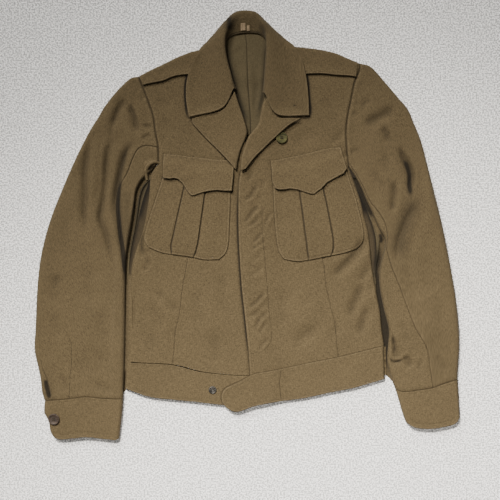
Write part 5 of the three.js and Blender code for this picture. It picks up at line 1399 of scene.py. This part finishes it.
def waistbands():
    side_right, side_left = Line([(126.6, 361.6), (125.8, 388)]), Line([(384, 347.4), (384.3, 378.5)])
    side_left = Line(np.array([band_top_left.points[-1], side_left.points[-1]]), straight=True, placed=True)
    back_sides = Line([(126.8, 360.4), (125.8, 387.5)]), Line([(384, 346.4), (384.3, 378)])
    steps = TUBE_STEPS * HALF_BODY
    top_right = line["waistFrontRight"].moved(BAND_LAP)
    plan = {
        "waistband_right": (
            patch(top_right, line["hemRight"], side_right, Line([(264, 376.4), (245, 405.5)])),
            shares(205, MEDIUM, first=steps)),
        "waistband_left": (
            patch(band_top_left, line["hemLeft"], line["tabEnd"], side_left),
            shares(270, MEDIUM, first=EDGE_STEPS, last=steps)),
        "waistband_back": (
            patch(line["waistBack"].moved(-0.15), line["hemBack"], *back_sides),
            shares(412, COARSE, first=steps, last=steps)),
    }
    for name, (shape, across) in plan.items():
        p, _, _ = spread(shape, across, shares(46, FINE, EDGE_STEPS, EDGE_STEPS))
        rounding = quarter_round(nearest(p, [side_right, side_left]), HALF_BODY) / HALF_BODY
        if name == "waistband_back":
            face = raised(p, (HALF_BODY - SIDE_GAP) * (1 - rounding))
            lining = lined(face, -BAND_CLOTH)
            lining[..., 2] = np.minimum(lining[..., 2], HALF_BODY - SIDE_GAP)
            shell(name, face, lining, SERGE, name, "serge", ["floor"])
            continue
        left = name == "waistband_left"
        top, hem = (band_top_left, line["hemLeft"]) if left else (top_right, line["hemRight"])
        from_hem = nearest(p, [hem, line["tabEnd"]]) if left else hem.distance(p)
        z = HALF_BODY + SIDE_GAP + rounding * (HALF_BODY + 0.5 + 0.55 * slack(p, 111))
        if left:
            z += (FLY_LIFT + 0.6) * (1 - smoothstep(p[..., 0], *TAB_FLAT)) * rounding
        face = raised(p, z)
        lining = lined(face, BAND_CLOTH)
        lining[..., 2] = np.maximum(lining[..., 2], HALF_BODY + SIDE_GAP)
        from_top = top.distance(p)
        face[..., 2] += (nose(from_hem, BAND_CLOTH) * 0.8 + groove(from_hem - 3.4, 0.9, 0.35)
                         + (0.1 if left else 0.5) + nose(from_top, BAND_CLOTH) * (0.15 if left else 0.35)
                         + groove(from_top - 3.4, 0.9, 0.3)) * rounding
        if left:
            face[..., 2] += groove(tab_seam.distance(p), 0.9, 0.4) * rounding
            face[..., 2] += TAB_SPRING * np.exp(-((line["tabEnd"].distance(p) / 9) ** 2))
        # The left band's seam before the tab; painted shadow lines on the right band under the tab's end and
        # top edge
        seams = [(tab_seam, 1.0)] if left else [(line["tabEnd"].moved(-0.8), 1.7), (tab_top, 1.5)]
        shell(name, face, lining, SERGE, name, "serge", ["waistband_back"],
              np.maximum(edge_wear_and_highlight(from_hem), 0.6 * edge_wear_and_highlight(from_top)), seam=drawn(p, seams))


# Painted shade in each armpit, on the underarm panels
armpit_hollows = {"right": Hollow(Line("156 172, 147 190, 141 208, 138 224"), 9, 1.0),
                  "left": Hollow(Line("349 166, 356 184, 364 204, 369 219"), 11, 1.1)}


# The edges of each panel, the one nearer the left of the sheet first
UNDERARMS = {
    "right": ([(149.8, 180), (143.6, 198), (140, 212), (136, 230), (131.4, 252), (128.8, 276)],
              [(152.6, 180), (150.6, 196), (148, 212), (144, 232), (137, 252), (132.4, 276)]),
    "left": ([(352, 180), (361, 206), (367, 232), (370, 252), (373, 270), (375.4, 284)],
             [(355, 182), (366.4, 210), (374.6, 234), (376, 252), (374.6, 268), (376, 284)]),
}


def underarms():
    for side, (first, last) in UNDERARMS.items():
        name = "underarm_panel_" + side
        shape = patch(Line([first[0], last[0]]), Line([first[-1], last[-1]]), Line(first), Line(last))
        p, _, _ = spread(shape, np.linspace(0, 1, 13), shares(100, MEDIUM))
        z = HALF_BODY - 0.2 + 0.3 * uneven(p, 7, 121) - 0.4
        # Painted shade along the panel's edge by the sleeve, and in the armpit
        dark = [Hollow(Line(first if side == "right" else last), 4, 0.9), armpit_hollows[side]]
        shell(name, raised(p, z), raised(p, np.full_like(z, HALF_BODY - 0.2 - CLOTH)), SHADED_UNDERARM_LINING, name,
              "serge_inside", ["back_" + side], hollows=dark)


VALLEY_FLOOR = 1.4
VALLEY_RISES = 0.42, 0.62  # shares of its length over which a valley rises to its lower half
VALLEY_FALLS = 0.9, 0.94  # and over which it falls again, towards the waistband
VALLEY_FOLD = 3.5  # how high the lit fold stands in the left valley
valley_fold = Line("371 222, 376 230, 379 236")
LAP_ON_FRONT = 4.2  # how far the valley's cloth runs on over the round of the front
# name, sleeve edge, body edge, band's side, shares of the length, height of the lower half
VALLEYS = [
    ("side_valley_right", "sleeveInnerRight", "bodyEdgeRight", [(126.8, 360), (125.8, 387)], (0.02, 1), 6.4),
    ("side_valley_left", "sleeveInnerLeft", "backEdgeLeft", [(384, 346), (384.2, 378)], (0.0, 0.97), 1.4),
]


def valleys():
    """Cloth at the bottom of the valleys between the sleeves and the body, with painted shade along the
    sleeves' edges and in the valleys' hollows.
    """
    for name, sleeve, body, band, cut, low_height in VALLEYS:
        outwards = -1 if name.endswith("right") else 1
        whole = joined(line[body], Line(band))
        body_edge = Line(whole.at(np.linspace(*cut, 80)), straight=True, placed=True).moved(-outwards * 2.0)
        if low_height > VALLEY_FLOOR:
            seam = joined(line["sideSeamRight"], Line(band))
            inside = Line(seam.at(np.linspace(*cut, 80)), straight=True, placed=True).moved(LAP_ON_FRONT)
            down = np.linspace(0, 1, len(body_edge.points))
            low_half = smoothstep(down, *VALLEY_RISES)[:, None]
            body_edge = Line(body_edge.points * (1 - low_half) + inside.at(down) * low_half,
                             straight=True, placed=True)
        sleeve_edge = Line(line[sleeve].at(np.linspace(cut[0], 0.985, 80)), straight=True, placed=True)
        sleeve_edge = sleeve_edge.moved(outwards * 3.5)
        sides = (sleeve_edge, body_edge) if outwards < 0 else (body_edge, sleeve_edge)
        ends = [Line([side.at(end) for side in sides], straight=True, placed=True) for end in (0, 1)]
        p, u, v = spread(patch(ends[0], ends[1], *sides), np.linspace(0, 1, 17), shares(380, MEDIUM))
        low_share = smoothstep(v, *VALLEY_RISES) * (1 - smoothstep(v, *VALLEY_FALLS))
        z = VALLEY_FLOOR + (low_height - VALLEY_FLOOR) * low_share
        if low_height > VALLEY_FLOOR:
            z += (BODY_HEIGHT - 0.3 - low_height) * smoothstep(u, 0.25, 0.9) * low_share
        z = z + 0.25 * uneven(p, 8, 131)
        dark = [Hollow(Line(line[sleeve].points, straight=True, placed=True).moved(-outwards * 1.5), 4, 0.5)]
        if outwards > 0:
            z += VALLEY_FOLD * np.exp(-((valley_fold.distance(p) / 8) ** 2))
            dark = valley_hollows
        shell(name, raised(p, z), raised(p, z - 1.1), SERGE, None, "serge_inside", ["floor"], hollows=dark)


ARMPIT_PATCH = [(343, 158), (356, 158), (356, 178), (345, 178)]


def armpit_patch():
    """The lining that closes the armpit at the wearer's left, coloured as a painted shadow."""
    a, b, c, d = on_table(ARMPIT_PATCH)
    u, v = np.meshgrid(np.linspace(0, 1, 9), np.linspace(0, 1, 9))
    u, v = u[..., None], v[..., None]
    p = (a * (1 - u) + b * u) * (1 - v) + (d * (1 - u) + c * u) * v
    z = np.full(p.shape[:2], HALF_BODY + 0.15)
    shell("armpit_patch", raised(p, z), raised(p, z - 0.3), SHADOW_CLOTH, None, "serge_inside", ["back_left"])


# Its middle line, each point with its height
CURL = [(147.5, 180, 5.5), (146.2, 173, 8), (147.6, 167.5, 10), (151, 163.8, 11), (155.5, 162.4, 10.5),
        (160, 163.6, 8)]
CURL_RADIUS = 3.4


def armpit_curl():
    """The gusset's edge, which curls up in the armpit at the wearer's right."""
    path = smooth_at(on_table(CURL), np.linspace(0, 1, 60))
    run = np.gradient(path, axis=0)
    run /= np.linalg.norm(run, axis=1)[:, None]
    across = np.cross(run, [0, 0, 1.0])
    across /= np.linalg.norm(across, axis=1)[:, None]
    up = np.cross(across, run)
    angle = np.linspace(-0.35 * math.pi, 1.15 * math.pi, 25)[None, :, None]
    radius = CURL_RADIUS * (0.45 + 0.55 * np.sin(np.linspace(0.1, 0.94, 60) * math.pi))[:, None, None]
    ray = np.cos(angle) * across[:, None] + np.sin(angle) * up[:, None]
    face = path[:, None] + radius * ray
    # A painted highlight along the top of the curl
    shell("armpit_curl", face, face - 0.9 * ray, SERGE, None, "serge", ["sleeve_upper_right"],
          edge_wear_and_highlight(np.abs(angle[..., 0] - 1.6) * 2 + np.zeros(face.shape[:2])))


def turned_disc(rings, turns=40):
    """Points and faces of a solid of revolution from (radius, height) rings, its poles closed by fans."""
    points, quads = [], []
    for radius, height in rings:
        angle = np.linspace(0, 2 * math.pi, turns, endpoint=False)
        points.append(np.stack([radius * np.cos(angle), radius * np.sin(angle), np.full(turns, height)], -1))
    points = np.vstack(points)
    for k in range(len(rings) - 1):
        for j in range(turns):
            nxt = (j + 1) % turns
            quads.append((k * turns + j, k * turns + nxt, (k + 1) * turns + nxt, (k + 1) * turns + j))
    last = (len(rings) - 1) * turns
    return points, quads, [tuple(reversed(range(turns))), tuple(range(last, last + turns))]


def hard_piece(name, points, faces, material, node, slot):
    mesh = bpy.data.meshes.new("set_" + name)
    mesh.from_pydata((points * MM).tolist(), [], faces)
    mesh.polygons.foreach_set("use_smooth", np.ones(len(faces), bool))
    mesh.set_sharp_from_angle(angle=math.radians(38))
    mesh.materials.append(material)
    made = bpy.data.objects.new("set_" + name, mesh)
    bpy.context.scene.collection.objects.link(made)
    pieces[name] = Piece(made, node, slot, None, None)


def placed_at(points, square, z, tilt=(0, 0)):
    """Points of a small piece tilted by two angles and set down at a square of the sheet."""
    ax, ay = (math.radians(angle) for angle in tilt)
    turn_x = np.array([[1, 0, 0], [0, math.cos(ax), -math.sin(ax)], [0, math.sin(ax), math.cos(ax)]])
    turn_y = np.array([[math.cos(ay), 0, math.sin(ay)], [0, 1, 0], [-math.sin(ay), 0, math.cos(ay)]])
    middle = on_table([square])[0]
    return points @ (turn_y @ turn_x).T + np.array([middle[0], middle[1], z])


FASTENERS = [
    # name, diameter, square, height of its foot, tilt, material, slot
    ("cuff_button_right", 18.4, (55.4, 418), 14.2, (3, -4), HORN, "horn"),
    ("throat_button", 18.6, (281.5, 138.4), 10.9, (-4, 6), GREEN, "green_button"),
]
HOLE_SPREAD = 2.3
HOLE_RADIUS = 1.0
THREAD_RADIUS = 0.32
# Rings of a dished button, as shares of its radius and heights in millimetres, and of the stud, in
# millimetres
BUTTON_RINGS = [(0.78, 0), (0.94, 0.5), (1, 1.3), (0.98, 2.1), (0.92, 2.7), (0.84, 2.9), (0.76, 2.7),
                (0.68, 2.0), (0.6, 1.7), (0.5, 1.6), (0.2, 1.55)]
STUD_RINGS = [(5.4, 0), (6.2, 0.5), (6.3, 1.2), (5.8, 1.9), (5.0, 2.1), (4.2, 1.7), (3.4, 1.1), (3.0, 1.15),
              (2.7, 1.9), (2.2, 2.2), (1.7, 2.0), (1.5, 1.1), (0.6, 1.0)]


def fasteners():
    for name, diameter, square, foot, tilt, material, slot in FASTENERS:
        rings = [(diameter / 2 * share, height) for share, height in BUTTON_RINGS]
        points, quads, caps = turned_disc(rings)
        hard_piece(name, placed_at(points, square, foot, tilt), quads + caps, material, name, slot)
        holes, threads = [], []
        for turn in range(4):
            angle = math.radians(45 + 90 * turn)
            centre = np.array([math.cos(angle), math.sin(angle), 0]) * HOLE_SPREAD
            p, q, c = turned_disc([(HOLE_RADIUS, 1.2), (HOLE_RADIUS, 1.72), (HOLE_RADIUS * 0.8, 1.74)], 12)
            holes.append((p + centre, q + c))
        for across in (-1, 1):
            along = np.linspace(-HOLE_SPREAD, HOLE_SPREAD, 9)
            arch = 1.75 + 0.75 * (1 - (along / HOLE_SPREAD) ** 2)
            for strand in (-0.35, 0.35):
                aside = np.full(9, across * HOLE_SPREAD * 0.71 + strand)
                threads.append(strand_tube(np.stack([along * 0.72, aside, arch], -1), THREAD_RADIUS))
        # The holes are dark discs whose colour is painted shadow
        for label, parts, finish in (("holes", holes, HOLE_SHADOW), ("thread", threads, THREAD)):
            p, faces = merged(parts)
            hard_piece(f"{name}_{label}", placed_at(p, square, foot, tilt), faces, finish, None, slot)
    points, quads, caps = turned_disc(STUD_RINGS)
    hard_piece("snap_stud", placed_at(points, (212.8, 389.3), 9.9), quads + caps, STEEL, "snap_stud", "steel")


def strand_tube(path, radius, sides=6):
    """Points and faces of a thread along a path, closed at both ends."""
    run = np.gradient(path, axis=0)
    run /= np.linalg.norm(run, axis=1)[:, None]
    across = np.cross(run, [0, 0, 1.0])
    across /= np.linalg.norm(across, axis=1)[:, None] + 1e-9
    up = np.cross(across, run)
    angle = np.linspace(0, 2 * math.pi, sides, endpoint=False)
    points = np.concatenate([p + radius * (np.cos(angle)[:, None] * a + np.sin(angle)[:, None] * b)
                             for p, a, b in zip(path, across, up)])
    faces = [(k + j, k + (j + 1) % sides, k + sides + (j + 1) % sides, k + sides + j)
             for k in range(0, (len(path) - 1) * sides, sides) for j in range(sides)]
    last = (len(path) - 1) * sides
    return points, faces + [tuple(reversed(range(sides))), tuple(range(last, last + sides))]


def merged(parts):
    points, faces, count = [], [], 0
    for p, f in parts:
        faces += [tuple(i + count for i in face) for face in f]
        points.append(p)
        count += len(p)
    return np.vstack(points), faces


# In metres; unevenness is the share by which the smallest stitch is smaller
STITCH = {"Pitch": 0.0027, "Stitch Length": 0.0021, "Stitch Width": 0.00042, "Unevenness": 0.18}
STITCH_SEED = 7


def stitching_tree():
    """Stitches spaced along lines, with a seed for their unevenness and the material of the thread."""
    tree, given, out = new_group("Topstitching", "GeometryNodeTree", [
        ("Lines", "NodeSocketGeometry", None),
        *((name, "NodeSocketFloat", value) for name, value in STITCH.items()),
        ("Seed", "NodeSocketInt", STITCH_SEED),
        ("Thread", "NodeSocketMaterial", THREAD)], [("Stitches", "NodeSocketGeometry")])
    curve = add(tree, "GeometryNodeMeshToCurve", {"Mesh": given["Lines"]})
    even = add(tree, "GeometryNodeResampleCurve", {"Curve": curve.outputs[0], "Length": given["Pitch"]},
               mode="LENGTH")
    tangent = add(tree, "GeometryNodeInputTangent")
    aligned = add(tree, "FunctionNodeAlignRotationToVector", {"Vector": tangent.outputs[0]}, axis="X")
    bead = add(tree, "GeometryNodeMeshUVSphere", {"Segments": 6, "Rings": 4, "Radius": 0.5})
    size = add(tree, "ShaderNodeCombineXYZ", {"X": given["Stitch Length"], "Y": given["Stitch Width"],
                                              "Z": given["Stitch Width"]})
    stitch = add(tree, "GeometryNodeTransform", {"Geometry": bead.outputs["Mesh"], "Scale": size.outputs[0]})
    low = add(tree, "ShaderNodeMath", {0: 1.0, 1: given["Unevenness"]}, operation="SUBTRACT")
    random = add(tree, "FunctionNodeRandomValue", {2: low.outputs[0], 3: 1.0, "Seed": given["Seed"]},
                 data_type="FLOAT")
    placed = add(tree, "GeometryNodeInstanceOnPoints", {
        "Points": even.outputs[0], "Instance": stitch.outputs[0], "Rotation": aligned.outputs[0],
        "Scale": random.outputs[1]})
    real = add(tree, "GeometryNodeRealizeInstances", {"Geometry": placed.outputs[0]})
    smooth = add(tree, "GeometryNodeSetShadeSmooth", {"Geometry": real.outputs[0]})
    dyed = add(tree, "GeometryNodeSetMaterial", {"Geometry": smooth.outputs[0], "Material": given["Thread"]})
    tree.links.new(dyed.outputs[0], out["Stitches"])
    return tree


# Piece, the edge that its stitches follow, how far in from it, and the shares of its length
TOPSTITCHING = [
    ("pocket_right", "pocketOutRight", 4.0, 0.03, 0.97),
    ("pocket_right", "pocketLowRight", 4.0),
    ("pocket_right", "pocketInRight", -4.0, 0.03, 0.97),
    ("pocket_left", "pocketInLeft", 4.0, 0.03, 0.97),
    ("pocket_left", "pocketLowLeft", 4.0),
    ("pocket_left", "pocketOutLeft", -4.0, 0.03, 0.97),
    ("pocket_flap_right", "flapTopRight", -4.6, 0.02, 0.98),
    ("pocket_flap_left", "flapTopLeft", -4.6, 0.02, 0.98),
    ("pocket_flap_right", "flapLowRight", 3.2, 0.02, 0.98),
    ("pocket_flap_left", "flapLowLeft", 3.2, 0.02, 0.98),
    ("lapel_right", "lapelEdgeRight", 3.2, 0.02, 0.97),
    ("lapel_left", "lapelEdgeLeft", -3.2, 0.02, 0.97),
    ("shoulder_strap_right", "strapLowRight", 3.2),
    ("shoulder_strap_left", "strapLowLeft", 3.2),
    ("waistband_right", "hemRight", 3.4, 0.02, 0.8),
    ("waistband_right", "waistFrontRight", -3.4, 0.02, 0.72),
    ("waistband_left", "hemLeft", 3.4, 0.02, 0.98),
    ("waistband_left", "tabTop", -3.4, 0.02, 0.98),
    ("waistband_left", "tabEnd", 3.4, 0.02, 0.98),
    ("waistband_left", tab_seam),
    ("cuff_right", "cuffHemRight", 8.5, 0.08, 0.94),
    ("cuff_left", "cuffHemLeft", -8.5, 0.06, 0.94),
]


def topstitched():
    """Each line of topstitching with the piece that it is sewn on."""
    yield "front_left", inset("neckEdgeLeft", 4.0, 0.38, 0.985)
    yield "front_left", fly_stitching
    for name, edge, *place in TOPSTITCHING:
        yield name, inset(edge, *place) if place else edge


def stitches():
    trees = {}
    points, edges = [], []
    for name, path in topstitched():
        if name not in trees:
            made = pieces[name].made.data
            trees[name] = BVHTree.FromPolygons([v.co for v in made.vertices],
                                               [f.vertices for f in made.polygons])
        first = len(points)
        for x, y in path.at(np.linspace(0, 1, max(8, round(path.length / 2)))) * MM:
            hit = trees[name].ray_cast(Vector((x, y, 1)), Vector((0, 0, -1)))[0]
            if hit:
                points.append((x, y, hit.z + 0.00006))
        edges += [(k, k + 1) for k in range(first, len(points) - 1)]
    mesh = bpy.data.meshes.new("topstitch_lines")
    mesh.from_pydata(points, edges, [])
    lines = bpy.data.objects.new("topstitch_lines", mesh)
    bpy.context.scene.collection.objects.link(lines)
    tree = stitching_tree()
    sewn = lines.modifiers.new("Topstitching", "NODES")
    sewn.node_group = tree
    wanted = {**STITCH, "Seed": STITCH_SEED, "Thread": THREAD}
    for item in tree.interface.items_tree:
        if item.item_type == "SOCKET" and item.in_out == "INPUT" and item.name in wanted:
            sewn[item.identifier] = wanted[item.name]
    plain = bpy.data.meshes.new_from_object(lines.evaluated_get(bpy.context.evaluated_depsgraph_get()))
    if not plain.uv_layers.get("Cloth"):
        plain.uv_layers.new(name="Cloth")
    bpy.data.objects.remove(lines)
    made = bpy.data.objects.new("topstitching", plain)
    bpy.context.scene.collection.objects.link(made)
    pieces["topstitching"] = Piece(made, None, "serge", None, None)


FLOOR_COLOUR = (0.86, 0.83, 0.785)
FLOOR_HALF = 3.0
TUFTS = (380, 430, 400)  # lumps a metre
PATCHES = (60, 60, 60)


def floor():
    corners = [(x * FLOOR_HALF, y * FLOOR_HALF, 0) for x, y in ((-1, -1), (1, -1), (1, 1), (-1, 1))]
    mesh = bpy.data.meshes.new("floor")
    mesh.from_pydata(corners, [], [(0, 1, 2, 3)])
    material = bpy.data.materials.new("pale_carpet")
    material.use_nodes = True
    tree = material.node_tree
    shader = tree.nodes["Principled BSDF"]
    place = add(tree, "ShaderNodeTexCoord").outputs["Object"]
    tufts = noise(tree, place, TUFTS, 3.0, 0.55)
    patches = noise(tree, place, PATCHES, 2.0)
    shade = maths(tree, "MULTIPLY", ranged(tree, tufts, 0.42, 0.58, 0.5, 1.28),
                  ranged(tree, patches, 0.3, 0.7, 0.96, 1.04))
    tree.links.new(scaled_colour(tree, FLOOR_COLOUR, shade), shader.inputs["Base Color"])
    bump = add(tree, "ShaderNodeBump", {"Height": tufts, "Distance": 0.0008, "Strength": 0.4})
    tree.links.new(bump.outputs[0], shader.inputs["Normal"])
    shader.inputs["Roughness"].default_value = 0.95
    shader.inputs["Specular IOR Level"].default_value = 0.1
    mesh.materials.append(material)
    made = bpy.data.objects.new("floor", mesh)
    bpy.context.scene.collection.objects.link(made)


WORLD_LIGHT = 0.11
WINDOW = (-1.9, 3.5, 3.7)
LAMP, LAMP_AIM = (-0.79, 1.6, 3.3), (0.29, -0.95, 0)
FILL, FILL_AIM = (0.21, -0.5, 2.7), (0.21, -0.5, 0)
WINDOW_POWER = 250
LAMP_POWER = 1480
FILL_POWER = 120
CAMERA_HEIGHT = 1.9
PICTURE = 500  # squares of the sheet across the picture
SENSOR = 36


def light(name, kind, place, target, power, **settings):
    data = bpy.data.lights.new(name, kind)
    data.energy = power
    for key, value in settings.items():
        setattr(data, key, value)
    made = bpy.data.objects.new(name, data)
    made.location = place
    made.rotation_euler = (Vector(target) - Vector(place)).to_track_quat("-Z", "Y").to_euler()
    bpy.context.scene.collection.objects.link(made)


def studio():
    world = bpy.data.worlds.new("studio")
    bpy.context.scene.world = world
    world.use_nodes = True
    world.node_tree.nodes["Background"].inputs["Color"].default_value = (0.95, 0.97, 1.0, 1)
    world.node_tree.nodes["Background"].inputs["Strength"].default_value = WORLD_LIGHT
    light("window", "AREA", WINDOW, (0, 0, 0), WINDOW_POWER, shape="RECTANGLE", size=1.6, size_y=1.0)
    light("lamp", "SPOT", LAMP, LAMP_AIM, LAMP_POWER, spot_size=math.radians(36), spot_blend=1,
          shadow_soft_size=0.22, color=(1.0, 0.985, 0.95))
    light("fill", "SPOT", FILL, FILL_AIM, FILL_POWER, spot_size=math.radians(40), spot_blend=1,
          shadow_soft_size=0.5)
    data = bpy.data.cameras.new("camera")
    data.sensor_width = SENSOR
    across = PICTURE * SQUARE * MM
    data.lens = SENSOR * CAMERA_HEIGHT / across
    camera = bpy.data.objects.new("camera", data)
    x, y = on_table([(PICTURE / 2, PICTURE / 2)])[0] * MM
    camera.location = (x, y, CAMERA_HEIGHT)
    bpy.context.scene.collection.objects.link(camera)
    bpy.context.scene.camera = camera


SMALLEST_SHEET = 0.01


def half_area(made):
    return sum(face.area for face in made.data.polygons) / 2


def hand_over():
    for name, piece in pieces.items():
        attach(piece.made, "root")
        if piece.node:
            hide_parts(piece.node)
    for name, piece in pieces.items():
        if piece.flat:
            width, length = (max(round(side, 3), SMALLEST_SHEET) for side in piece.flat)
            area = min(max(half_area(piece.made), 0.31 * width * length), width * length)
            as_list(piece.rests_on)


fronts()
backs()
sleeves()
cuffs()
pockets()
lapels()
collar()
straps()
waistbands()
underarms()
valleys()
armpit_patch()
armpit_curl()
fasteners()
stitches()
floor()
studio()
hand_over()
